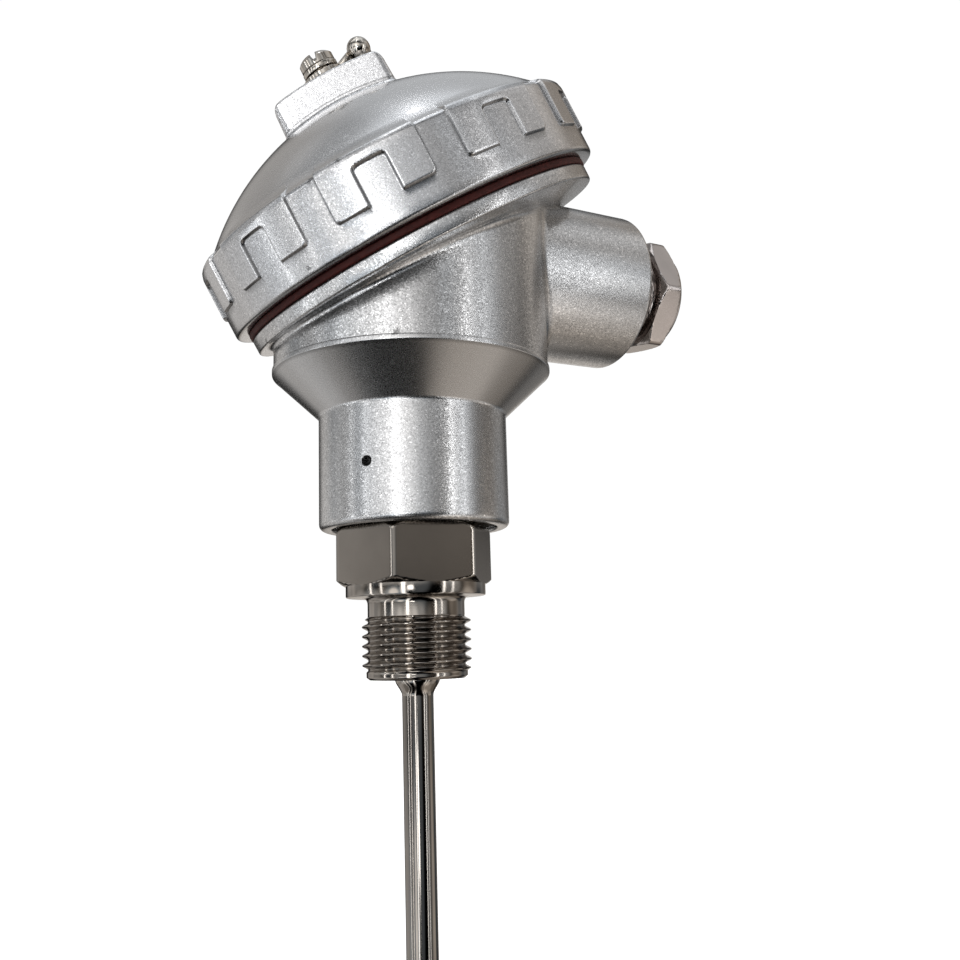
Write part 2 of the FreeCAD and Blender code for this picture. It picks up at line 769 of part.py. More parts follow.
def make_cap_gasket():
    body = new_body("cap_gasket")
    sketch = circles(new_sketch(body, "gasket_rings", "XY_Plane", (0, 0, z.flange_thickness)), [
        (0, 0, gasket_radius), (0, 0, spigot_radius + z.slip_gap)])
    pad(body, "gasket_ring", sketch, z.gasket_thickness)
    place_on_cap(body)
    return body


# Screw cap: one casting. A raised band round the skirt is cut into arch shapes by turned sector cuts.
def make_screw_cap():
    body = new_body("screw_cap")
    bore = spigot_radius + z.cap_play
    rise = z.dome_apex - z.dome_edge_level
    dome_radius = (dome_edge_radius * dome_edge_radius + rise * rise) / (rise * 2)
    dome_centre = z.dome_apex - dome_radius
    inner_dome = dome_radius - z.dome_wall
    inner_level = dome_centre + root(inner_dome * inner_dome - cap_inner_radius * cap_inner_radius)
    skirt_top_radius = z.cap_radius - z.cap_skirt_draft
    crown_radius = dome_edge_radius - z.relief_crown_inset
    crown_level = dome_centre + root(dome_radius * dome_radius - crown_radius * crown_radius)
    shoulder = z.shoulder_rounding
    raised_bottom = z.cap_radius + z.relief_height
    raised_top = skirt_top_radius + z.relief_height
    sketch = outline(new_sketch(body, "cap_profile"), [
        (bore, cap_bottom),
        (z.cap_radius - z.cap_rim_rounding, cap_bottom, z.cap_rim_rounding, -1),
        (z.cap_radius, cap_bottom + z.cap_rim_rounding),
        (z.cap_radius, z.relief_bottom),
        (raised_bottom, z.relief_bottom + z.relief_height / 2),
        (raised_top, z.cap_skirt_top, shoulder + z.relief_height, -1),
        (crown_radius, crown_level, dome_radius, -1),
        (0, z.dome_apex),
        (0, z.dome_apex - z.dome_wall, inner_dome, 1),
        (cap_inner_radius, inner_level),
        (cap_inner_radius, z.cap_thread_top),
        (bore, z.cap_thread_top)])
    revolve(body, "cap_shell", sketch)
    sector = sized(360) / z.relief_count / 4
    outside = z.cap_radius + 4
    floor = [(z.cap_radius, z.relief_bottom), (outside, z.relief_bottom)]
    turn = -z.cap_stop_angle - 90
    gap = outline(new_sketch(body, "gap_profile", "XZ_Plane", (0, 0, 0), (0, 1, 0), turn + sector * 2), floor + [
        (outside, z.dome_edge_level + 4),
        (crown_radius, z.dome_edge_level + 4),
        (crown_radius, crown_level),
        (dome_edge_radius, z.dome_edge_level, shoulder, 1),
        (skirt_top_radius, z.cap_skirt_top)])
    first_gap = revolve(body, "gap_cut", gap, cut=True, angle=sector)
    polar(body, "gap_cuts", [first_gap], z.relief_count)
    notch = outline(new_sketch(body, "notch_profile", "XZ_Plane", (0, 0, 0), (0, 1, 0), turn), floor + [
        (outside, z.relief_notch_top),
        (skirt_top_radius, z.relief_notch_top)])
    first_notch = revolve(body, "notch_cut", notch, cut=True, angle=sector)
    polar(body, "notch_cuts", [first_notch], z.relief_count)
    make_cap_block(body)
    place_on_cap(body)
    return body


# Block on the crown that takes the chain screw: rounded corners, drafted sides and a crowned top.
def make_cap_block(body):
    half_length, half_width, corner = z.block_length / 2, z.block_width / 2, z.block_corner
    inner_length, inner_width = half_length - corner, half_width - corner
    base = new_sketch(body, "block_outline", "XY_Plane", (0, 0, z.block_base), (0, 0, -1), z.cap_stop_angle)
    block = outline(base, [
        (-inner_length, -half_width),
        (inner_length, -half_width, corner, -1),
        (half_length, -inner_width),
        (half_length, inner_width, corner, -1),
        (inner_length, half_width),
        (-inner_length, half_width, corner, -1),
        (-half_length, inner_width),
        (-half_length, -inner_width, corner, -1)])
    pad(body, "block", block, z.block_top - z.block_base + 1, taper=-3)
    reach = z.block_length
    crown_fall = z.block_crown_radius - root(z.block_crown_radius * z.block_crown_radius - reach * reach)
    crown = outline(new_sketch(body, "crown_profile"), [
        (0, z.block_top + 3),
        (0, z.block_top, z.block_crown_radius, 1),
        (reach, z.block_top - crown_fall),
        (reach, z.block_top + 3)])
    revolve(body, "crown_cut", crown, cut=True)
    hole = circles(new_sketch(body, "block_hole_circle", "XY_Plane", (0, 0, z.block_top + 1)),
                   [(0, 0, z.chain_screw_radius + z.slip_gap)])
    pocket(body, "block_hole", hole, z.block_hole_depth + 1)


eyelet_bottom = z.block_top + z.eyelet_lift
washer_bottom = eyelet_bottom + z.eyelet_thickness + z.eyelet_lift
cap_head_seat = washer_bottom + z.spring_washer_height


# Round plate with a tab; the last ball of the chain sits off the tab's end.
def make_eyelet(label, reach, thickness):
    body = new_body(label)
    half = z.eyelet_tab_width / 2
    plate = circles(new_sketch(body, label + "_rings", "XY_Plane"), [(0, 0, z.eyelet_radius)])
    pad(body, label + "_plate", plate, thickness)
    tab = outline(new_sketch(body, label + "_tab_outline", "XY_Plane"), [
        (0, -half), (reach - half, -half, half, -1), (reach, 0, half, -1), (reach - half, half), (0, half)])
    pad(body, label + "_tab", tab, thickness)
    hole = circles(new_sketch(body, label + "_hole", "XY_Plane", (0, 0, thickness)),
                   [(0, 0, z.chain_screw_radius + z.chain_play)])
    pocket(body, label + "_bore", hole, thickness)
    return body


def make_spring_washer():
    body = new_body("cap_spring_washer")
    rings = circles(new_sketch(body, "washer_rings", "XY_Plane", (0, 0, washer_bottom)), [
        (0, 0, z.spring_washer_radius), (0, 0, z.chain_screw_radius + z.slip_gap)])
    pad(body, "washer_ring", rings, z.spring_washer_height)
    place_on_cap(body)
    return body


def to_world(place_in_cap):
    tilt = FreeCAD.Placement(FreeCAD.Vector(z.cap_offset.number, 0, z.cap_level.number),
                             FreeCAD.Rotation(FreeCAD.Vector(0, -1, 0), z.cap_tilt.number))
    return tilt.multVec(FreeCAD.Vector(*place_in_cap))


# The frame of the chain lug: Z points out of its face and X round the housing, away from the cable entry.
def on_lug(distance, along=0):
    lean = math.radians(z.chain_lug_angle.number)
    outward = FreeCAD.Vector(math.sin(lean), math.cos(lean), 0)
    sideways = FreeCAD.Vector(-math.cos(lean), math.sin(lean), 0)
    up = FreeCAD.Vector(0, 0, 1)
    base = outward * distance + sideways * along + up * z.chain_lug_level.number
    return FreeCAD.Placement(base, FreeCAD.Rotation(sideways, up, outward, "ZXY"))


def make_chain_parts():
    chain_screw = make_screw("cap_chain_screw", z.chain_screw_radius, z.chain_screw_length + z.spring_washer_height,
                             z.chain_head_radius, z.chain_head_height, z.chain_slot_width, z.chain_slot_depth,
                             sized(0), True)
    place(chain_screw, z.cap_offset - cap_head_seat * sine_of(z.cap_tilt), 0,
          z.cap_level + cap_head_seat * cosine_of(z.cap_tilt), cap_axis, z.cap_tilt)
    cap_eyelet = make_eyelet("cap_chain_eyelet", z.eyelet_reach, z.eyelet_thickness)
    spin = FreeCAD.Rotation(FreeCAD.Vector(0, -1, 0), z.cap_tilt.number).multiply(
        FreeCAD.Rotation(FreeCAD.Vector(0, 0, -1), z.cap_stop_angle.number))
    cap_eyelet.Placement = FreeCAD.Placement(to_world((0, 0, eyelet_bottom.number)), spin)
    anchor_eyelet = make_eyelet("housing_chain_eyelet", z.anchor_reach, z.eyelet_thickness)
    lug_face = z.chain_lug_reach.number + z.slip_gap.number
    anchor_eyelet.Placement = on_lug(lug_face)
    anchor_screw = make_screw("housing_chain_screw", z.chain_screw_radius, z.chain_hole_depth,
                              z.chain_head_radius, z.chain_head_height, z.chain_slot_width, z.chain_slot_depth,
                              sized(0), True)
    anchor_screw.Placement = on_lug(lug_face + z.eyelet_thickness.number + z.slip_gap.number)
    return [chain_screw, cap_eyelet, anchor_eyelet, anchor_screw]


# Hand-chosen points that the chain passes. Over the cap they are shares of the cap's outer reach and of the
# block's height; down the side, of that reach and of the cap's level.
CHAIN_OVER_CAP = [
    (0.196, 0.291, 1.071), (0.157, 0.425, 0.993), (0.097, 0.536, 0.885), (0.018, 0.661, 0.767),
    (-0.055, 0.807, 0.668), (-0.106, 0.943, 0.534), (-0.129, 1.032, 0.362)]
CHAIN_DOWN_SIDE = [
    (0.217, 1.014, 1.173), (0.208, 1.018, 1.008), (0.190, 1.005, 0.842),
    (0.143, 0.945, 0.686), (0.051, 0.847, 0.614)]


# Ball chain: balls at an even pitch along a smooth route, joined by short pins.
def make_retaining_chain():
    stop = math.radians(-z.cap_stop_angle.number)
    along, facing = (math.cos(stop), math.sin(stop)), (math.sin(stop), -math.cos(stop))

    def over_cap(a, d, height):
        return to_world((a * along[0] + d * facing[0], a * along[1] + d * facing[1], height))

    first = z.eyelet_reach.number + z.eyelet_lift.number + z.ball_radius.number
    rest = z.block_top.number + z.ball_radius.number
    edge = z.cap_radius.number + z.relief_height.number + z.ball_radius.number
    held = z.anchor_reach.number + z.eyelet_lift.number + z.ball_radius.number
    last = on_lug(z.chain_lug_reach.number + z.ball_radius.number / 2, held).Base
    route = [over_cap(first, 0, rest), over_cap(first, -z.block_width.number / 2, rest + z.eyelet_lift.number * 2)]
    for across, along_cap, height in CHAIN_OVER_CAP:
        route.append(over_cap(across * edge, -along_cap * edge, height * z.block_top.number))
    for forward, outward, level in CHAIN_DOWN_SIDE:
        route.append(FreeCAD.Vector(forward * edge, outward * edge, level * z.cap_level.number))
    below = last.z - z.ball_radius.number * 2
    route += [FreeCAD.Vector(-z.link_radius.number, last.y + z.ball_radius.number / 2, below), last]
    curve = Part.BSplineCurve()
    curve.interpolate(route)
    samples = curve.discretize(4000)
    length = sum(samples[i].distanceToPoint(samples[i + 1]) for i in range(len(samples) - 1))
    links = max(round(length / z.ball_pitch.number), 2)
    centres = [curve.value(curve.parameterAtDistance(length * k / links, curve.FirstParameter))
               for k in range(links)] + [last]
    pieces = [Part.makeSphere(z.ball_radius.number, centre) for centre in centres]
    for a, b in zip(centres, centres[1:]):
        pieces.append(Part.makeCylinder(z.link_radius.number, a.distanceToPoint(b), a, b - a))
    chain = doc.addObject("Part::Feature", "retaining_chain")
    chain.Label = "retaining_chain"
    chain.Shape = pieces[0].multiFuse(pieces[1:])
    print("chain balls", len(centres), "length", round(length, 1))
    return chain


# Hollow hexagon screw of the cable gland, turned out as far as it stands in use without a cable.
def make_gland_nut():
    body = new_body("gland_nut")
    inner_face = z.boss_end + z.gland_stand_out
    outer_face = inner_face + z.nut_height
    screw_tip = gland_washer_end()
    flats = hexagon(new_sketch(body, "nut_hexagon", "YZ_Plane", (0, 0, inner_face), (0, 0, 1), 0),
                    z.nut_flats, 180 + z.nut_turn)
    pad(body, "nut_head", flats, z.nut_height)
    shank = circles(new_sketch(body, "shank_circle", "YZ_Plane", (0, 0, screw_tip)),
                    [(0, 0, z.gland_thread_radius)])
    pad(body, "shank", shank, inner_face - screw_tip)
    nose = outline(new_sketch(body, "nose_profile", "XZ_Plane"), [
        (outer_face, 0),
        (outer_face, z.nut_nose_radius),
        (outer_face + z.nut_nose * 0.4, z.nut_nose_radius, z.nut_nose, 1),
        (outer_face + z.nut_nose, z.nut_nose_radius - z.nut_nose),
        (outer_face + z.nut_nose, 0)])
    revolve(body, "nose", nose, axis="H_Axis")
    corner = z.nut_flats / root(sized(3))
    for name, face, way in (("inner_bevel", inner_face, 1), ("outer_bevel", outer_face, -1)):
        bevel = outline(new_sketch(body, name + "_profile", "XZ_Plane"), [
            (face, corner - z.nut_bevel * 1.6), (face, corner + 1),
            (face + z.nut_bevel * way + way * 0.625, corner + 1)])
        revolve(body, name, bevel, cut=True, axis="H_Axis")
    bore = circles(new_sketch(body, "nut_bore_circle", "YZ_Plane", (0, 0, screw_tip)), [(0, 0, z.nut_bore)])
    pocket(body, "nut_bore", bore, outer_face + z.nut_nose - screw_tip, reverse=True)
    place(body, 0, 0, z.boss_level)
    return body


def gland_washer_start():
    return gland_floor + z.gland_seal_length + z.gland_play


def gland_washer_end():
    return gland_washer_start() + z.gland_washer_thickness + z.gland_play


def make_gland_ring(label, start, length, outer, inner):
    body = new_body(label)
    rings = circles(new_sketch(body, label + "_rings", "YZ_Plane", (0, 0, start)), [(0, 0, outer), (0, 0, inner)])
    pad(body, label + "_ring", rings, length)
    place(body, 0, 0, z.boss_level)
    return body


parts = [
    make_process_fitting(),
    make_fitting_seal(),
    make_probe_sheath(),
    make_sensing_element(),
    make_wire_insulator(),
    make_lead_wires(),
    make_terminal_block(),
]
parts += [make_terminal_plate(number, side) for number, side in enumerate(TERMINAL_SIDES, start=1)]
parts += make_terminal_screws()
parts += make_block_screws()
parts += [make_head_housing(), make_cap_gasket(), make_screw_cap(), make_spring_washer()]
parts += make_chain_parts()
parts += [
    make_retaining_chain(),
    make_gland_nut(),
    make_gland_ring("gland_washer", gland_washer_start(), z.gland_washer_thickness, z.gland_seal_radius,
                    z.gland_washer_bore),
    make_gland_ring("gland_seal", gland_floor, z.gland_seal_length, z.gland_seal_radius, z.gland_seal_bore),
]
doc.recompute()

for item in doc.Objects:
    if any(word in item.State for word in ("Invalid", "Error")):
        raise RuntimeError("%s failed to build" % item.Name)
for item in parts:
    if item.Shape.isNull() or not item.Shape.isValid():
        raise RuntimeError("%s has no sound shape" % item.Label)

os.makedirs("parts", exist_ok=True)
for item in parts:
    item.Shape.exportStep("parts/%s.step" % item.Label)
    print(item.Label, round(item.Shape.Volume, 1), len(item.Shape.Solids))
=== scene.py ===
import bpy
import numpy as np
from mathutils import Matrix, Vector


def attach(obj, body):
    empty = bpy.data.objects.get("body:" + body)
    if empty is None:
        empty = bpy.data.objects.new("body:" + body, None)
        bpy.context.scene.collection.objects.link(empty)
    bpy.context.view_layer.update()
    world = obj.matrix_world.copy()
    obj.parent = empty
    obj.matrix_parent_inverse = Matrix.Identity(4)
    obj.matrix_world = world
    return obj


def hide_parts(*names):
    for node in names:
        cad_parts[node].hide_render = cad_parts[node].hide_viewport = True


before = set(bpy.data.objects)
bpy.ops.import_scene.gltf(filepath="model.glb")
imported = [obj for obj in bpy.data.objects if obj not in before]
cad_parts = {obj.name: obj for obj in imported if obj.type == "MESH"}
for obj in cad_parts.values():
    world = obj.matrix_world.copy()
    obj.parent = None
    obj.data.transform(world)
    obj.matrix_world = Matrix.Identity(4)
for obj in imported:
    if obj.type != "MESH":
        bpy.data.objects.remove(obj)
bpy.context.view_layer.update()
mm = 0.001
scene = bpy.context.scene
print("frame loaded:", len(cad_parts), "nodes")

# frames the pieces are drawn in: rows are the local x, y and z directions, then the origin in millimetres
tilt = np.radians(30)
capAxes = np.array([[np.cos(tilt), 0, np.sin(tilt)], [0, 1, 0], [-np.sin(tilt), 0, np.cos(tilt)]])
capFrame = (capAxes, np.array([3.5, 0, 66.5]))
worldFrame = (np.eye(3), np.zeros(3))
bossLevel = 68.0
bossAxes = np.array([[0, 1, 0], [0, 0, 1], [1, 0, 0]])  # local z runs out of the cable entry
bossFrame = (bossAxes, np.array([0, 0, bossLevel]))
lugTurn = np.radians(20)
lugAxes = np.array([[-np.cos(lugTurn), np.sin(lugTurn), 0], [0, 0, 1], [np.sin(lugTurn), np.cos(lugTurn), 0]])
lugFrame = (lugAxes, np.array([0, 0, 48.8]))
capStop = np.radians(-32)  # the long way of the cap's block when the cap is tight


def turnAxes(turn):
    # the three directions turned about z
    c, s = np.cos(turn), np.sin(turn)
    return np.array([[c, s, 0], [-s, c, 0], [0, 0, 1]])


def toWorld(points, frameOf):
    # local point times the frame's three directions, plus its origin, in metres
    axes, origin = frameOf
    return (np.asarray(points, float) @ axes + origin) * mm


def ringPoints(radius, height, angle):
    # polar to Cartesian: x = r cos a, y = r sin a, z = h, as whole arrays
    radius, height, angle = np.broadcast_arrays(radius, height, angle)
    return np.stack([radius * np.cos(angle), radius * np.sin(angle), height], axis=-1)


def gridFaces(rows, columns, wrapRows, wrapColumns):
    # quad (i, j), (i + 1, j), (i + 1, j + 1), (i, j + 1); the last row or column meets the first if it wraps
    rowStarts = np.arange(rows if wrapRows else rows - 1)
    columnStarts = np.arange(columns if wrapColumns else columns - 1)
    i, j = np.meshgrid(rowStarts, columnStarts, indexing="ij")
    nextI, nextJ = (i + 1) % rows, (j + 1) % columns
    corners = [i * columns + j, nextI * columns + j, nextI * columns + nextJ, i * columns + nextJ]
    return np.stack(corners, axis=-1).reshape(-1, 4)


def fullTurn(count):
    # angles of one turn in equal steps
    return np.linspace(0, 2 * np.pi, count, endpoint=False)


class Shell:
    # collects closed grids for one mesh
    def __init__(self):
        self.points = []
        self.quads = []
        self.caps = []
        self.count = 0

    def add(self, grid, wrapRows=True, wrapColumns=True, frameOf=worldFrame, capEnds=False, faces=None):
        # grid is rows x columns x 3; its faces are turned outwards afterwards, shell by shell
        rows, columns = grid.shape[:2]
        self.points.append(toWorld(grid.reshape(-1, 3), frameOf))
        faces = gridFaces(rows, columns, wrapRows, wrapColumns) if faces is None else faces
        self.quads.append(faces + self.count)
        if capEnds:
            first = np.arange(columns) + self.count
            self.caps += [first[::-1].tolist(), (first + (rows - 1) * columns).tolist()]
        self.count += rows * columns
        return self


def addPiece(name, shell, material, body, node, sharpAngle=32):
    # one mesh of a shell, smooth but for edges above the angle, that rides on a body in a CAD node's place
    mesh = bpy.data.meshes.new(name)
    faces = np.concatenate(shell.quads).tolist() + shell.caps
    mesh.from_pydata(np.concatenate(shell.points).tolist(), [], faces)
    mesh.update()
    piece = bpy.data.objects.new(name, mesh)
    scene.collection.objects.link(piece)
    bpy.ops.object.select_all(action="DESELECT")
    piece.select_set(True)
    bpy.context.view_layer.objects.active = piece
    bpy.ops.object.mode_set(mode="EDIT")
    bpy.ops.mesh.select_all(action="SELECT")
    bpy.ops.mesh.remove_doubles(threshold=1e-6)  # poles and seams close here
    bpy.ops.mesh.dissolve_degenerate(threshold=1e-7)
    bpy.ops.mesh.normals_make_consistent(inside=False)
    bpy.ops.object.mode_set(mode="OBJECT")
    bpy.ops.object.shade_smooth_by_angle(angle=np.radians(sharpAngle))
    mesh.materials.append(material)
    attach(piece, body)
    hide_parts(node)
    return piece


def localPoints(piece, frameOf):
    # a mesh's points in millimetres in a local frame: (world / mm - origin) times the transposed directions
    flat = np.empty(len(piece.data.vertices) * 3)
    piece.data.vertices.foreach_get("co", flat)
    return (flat.reshape(-1, 3) / mm - frameOf[1]) @ frameOf[0].T


def markPaintedShadeAndHighlight(piece, amount):
    # -1 to 1 at each point, read by the paint: painted shade, darker, at the foot of an edge, and a painted
    # highlight, brighter, at its top
    line = piece.data.attributes.new("line", "FLOAT", "POINT")
    line.data.foreach_set("value", np.asarray(amount, np.float32))


def arcBetween(u, v, share, sweep):
    # a share of the way along the circle arc from u to v: (sin((1 - s) w) u + sin(s w) v) / sin w
    return (np.sin((1 - share) * sweep) * u + np.sin(share * sweep) * v) / np.sin(sweep)


def roundedLoop(corners, steps=5):
    # closed outline of (r, h, rounding) corners: each corner becomes an arc tangent to both of its sides
    corners = [(np.array(c[:2], float), c[2] if len(c) > 2 else 0) for c in corners]
    outline = []
    for index, (point, radius) in enumerate(corners):
        before, after = corners[index - 1][0], corners[(index + 1) % len(corners)][0]
        if radius <= 0:
            outline.append(point)
            continue
        sideBefore, sideAfter = np.linalg.norm(before - point), np.linalg.norm(after - point)
        a, b = (before - point) / sideBefore, (after - point) / sideAfter
        half = np.arccos(np.clip(a @ b, -1, 1)) / 2
        reach = min(radius / np.tan(half), sideBefore * 0.49, sideAfter * 0.49)
        centre = point + (a + b) / np.linalg.norm(a + b) * reach / np.cos(half)
        u, v = point + a * reach - centre, point + b * reach - centre
        sweep = np.pi - 2 * half
        share = np.linspace(0, 1, steps + 1)[:, None]
        outline += list(centre + arcBetween(u, v, share, sweep))
    return np.array(outline)


def lathe(loop, turns=192):
    # surface of revolution: every outline point (r, h) carried round a full circle
    return ringPoints(loop[None, :, 0], loop[None, :, 1], fullTurn(turns)[:, None])


def smoothStep(x, low, high):
    # 0 below low, 1 above high, 3t^2 - 2t^3 between
    t = np.clip((x - low) / (high - low), 0, 1)
    return t * t * (3 - 2 * t)


# screw threads: radius follows a rounded triangle of (height / pitch - turn / 360), fading at both ends
def threadWave(t):
    # rounded triangle wave of t, 0 in the root and 1 on the crest
    wave = np.clip((1 - 2 * np.abs(np.mod(t, 1) - 0.5) - 0.09) / 0.82, 0, 1)
    return smoothStep(wave, 0, 1) * 0.6 + wave * 0.4


def threadedGrid(low, high, crest, root, pitch, turns, perPitch, leadLow, leadHigh):
    # rows are angles, columns heights; the wave is cut down by the lead-in cone at each end
    h = np.arange(low, high + 1e-9, pitch / perPitch)
    h[-1] = high
    angle = fullTurn(turns)[:, None]
    wave = threadWave(h[None, :] / pitch - angle / (2 * np.pi))
    cones = np.minimum(root + (h - low) * (crest - root) / leadLow + 0.05,
                       root + (high - h) * (crest - root) / leadHigh + 0.05)
    limit = np.minimum(crest, cones)
    radius = np.minimum(root + (crest - root) * wave, np.maximum(limit, root)[None, :])
    return radius, h, angle


def threadBetween(front, thread, back):
    # a threaded grid between two plain outlines of (r, h) points, which are the same at every angle
    radius, h, angle = thread
    turns = len(angle)
    front, back = (np.broadcast_to(np.array(part, float), (turns, len(part), 2)) for part in (front, back))
    r = np.concatenate([front[..., 0], radius, back[..., 0]], axis=1)
    level = np.concatenate([front[..., 1], np.broadcast_to(h, radius.shape), back[..., 1]], axis=1)
    return ringPoints(r, level, angle)


def hexagonPrism(flats, corner, firstTurn, samples, levels, cone, bore):
    # radius is half the width across flats over the cosine of the angle from a flat's middle, at most the
    # corner's radius and the cone's at that height; the first and last columns lie on the bore
    marks = np.radians(firstTurn) + np.arange(7) * np.pi / 3
    near, middle, last = np.linspace(0, 0.12, 6), np.linspace(0.12, 0.88, samples), np.linspace(0.88, 1, 6)
    step = np.concatenate([near[:-1], middle[:-1], last[:-1]])
    turn = np.concatenate([a + (b - a) * step for a, b in zip(marks, marks[1:])])[:, None]
    local = np.mod(turn - marks[0], np.pi / 3) - np.pi / 6
    radius = np.minimum(np.minimum(flats / 2 / np.cos(local), corner), cone[None, :])
    radius[:, 0] = radius[:, -1] = bore
    return ringPoints(radius, levels[None, :], turn)


# camera: solved from the photograph's edges, 960 x 960 frame, lens for a 36 mm wide sensor
cameraLook = {"place": (-82.649, -179.627, -8.759), "forward": (0.470975, 0.868117, 0.156700),
              "up": (-0.049528, -0.151333, 0.987241), "pixels": 1014.663}
forward, up = Vector(cameraLook["forward"]).normalized(), Vector(cameraLook["up"])
right = forward.cross(up).normalized()
up = right.cross(forward)
cameraData = bpy.data.cameras.new("photoCamera")
cameraData.sensor_width = 36
cameraData.lens = cameraLook["pixels"] / 960 * 36
cameraData.clip_start, cameraData.clip_end = 0.01, 20
camera = bpy.data.objects.new("photoCamera", cameraData)
camera.matrix_world = Matrix(((right.x, up.x, -forward.x, cameraLook["place"][0] * mm),
                              (right.y, up.y, -forward.y, cameraLook["place"][1] * mm),
                              (right.z, up.z, -forward.z, cameraLook["place"][2] * mm), (0, 0, 0, 1)))
scene.collection.objects.link(camera)
scene.camera = camera
print("camera made")


# materials: node trees on Object coordinates, so that a pattern stays on its piece at every pose
def newMaterial(name, metallic, roughness, color):
    material = bpy.data.materials.new(name)
    material.use_nodes = True
    shader = material.node_tree.nodes["Principled BSDF"]
    shader.inputs["Metallic"].default_value = metallic
    shader.inputs["Roughness"].default_value = roughness
    shader.inputs["Base Color"].default_value = (*color, 1)
    return material, material.node_tree, shader


def addNode(tree, kind, **settings):
    node = tree.nodes.new(kind)
    for key, value in settings.items():
        if key in node.inputs:
            node.inputs[key].default_value = value
        else:
            setattr(node, key, value)
    return node


def noiseField(tree, scale, detail=3.0, stretch=(1, 1, 1)):
    # noise of (object point times stretch) times scale, 0 to 1
    spot = tree.nodes.new("ShaderNodeTexCoord").outputs["Object"]
    mapping = addNode(tree, "ShaderNodeMapping", Scale=stretch)
    noise = addNode(tree, "ShaderNodeTexNoise", Scale=scale, Detail=detail)
    tree.links.new(spot, mapping.inputs["Vector"])
    tree.links.new(mapping.outputs["Vector"], noise.inputs["Vector"])
    return noise.outputs["Fac"]


def colorRamp(tree, source, stops):
    # a ramp between (place, colour) stops
    ramp = tree.nodes.new("ShaderNodeValToRGB")
    while len(ramp.color_ramp.elements) < len(stops):
        ramp.color_ramp.elements.new(0.5)
    for element, (spot, color) in zip(ramp.color_ramp.elements, stops):
        element.position = spot
        element.color = (*color, 1)
    tree.links.new(source, ramp.inputs["Fac"])
    return ramp.outputs["Color"]


def greyRamp(tree, source, stops):
    # a ramp of plain numbers
    return colorRamp(tree, source, [(spot, (k, k, k)) for spot, k in stops])


def remap(tree, source, low, high, newLow, newHigh, kind="LINEAR"):
    node = addNode(tree, "ShaderNodeMapRange", interpolation_type=kind)
    for socket, value in zip(("From Min", "From Max", "To Min", "To Max"), (low, high, newLow, newHigh)):
        node.inputs[socket].default_value = value
    tree.links.new(source, node.inputs["Value"])
    return node.outputs["Result"]


def bump(tree, shader, source, strength, distance):
    node = addNode(tree, "ShaderNodeBump", Strength=strength, Distance=distance)
    tree.links.new(source, node.inputs["Height"])
    tree.links.new(node.outputs["Normal"], shader.inputs["Normal"])
    return node.outputs["Normal"]


def mathNode(tree, kind, operation, values):
    # the values are sockets, or plain numbers or vectors
    node = addNode(tree, kind, operation=operation)
    for socket, value in zip(node.inputs, values):
        if isinstance(value, bpy.types.NodeSocket):
            tree.links.new(value, socket)
        else:
            socket.default_value = value
    return node.outputs


def scalarMath(tree, operation, *values):
    return mathNode(tree, "ShaderNodeMath", operation, values)["Value"]


def vectorMath(tree, operation, *values):
    outputs = mathNode(tree, "ShaderNodeVectorMath", operation, values)
    return outputs["Value" if operation in ("DOT_PRODUCT", "DISTANCE") else "Vector"]


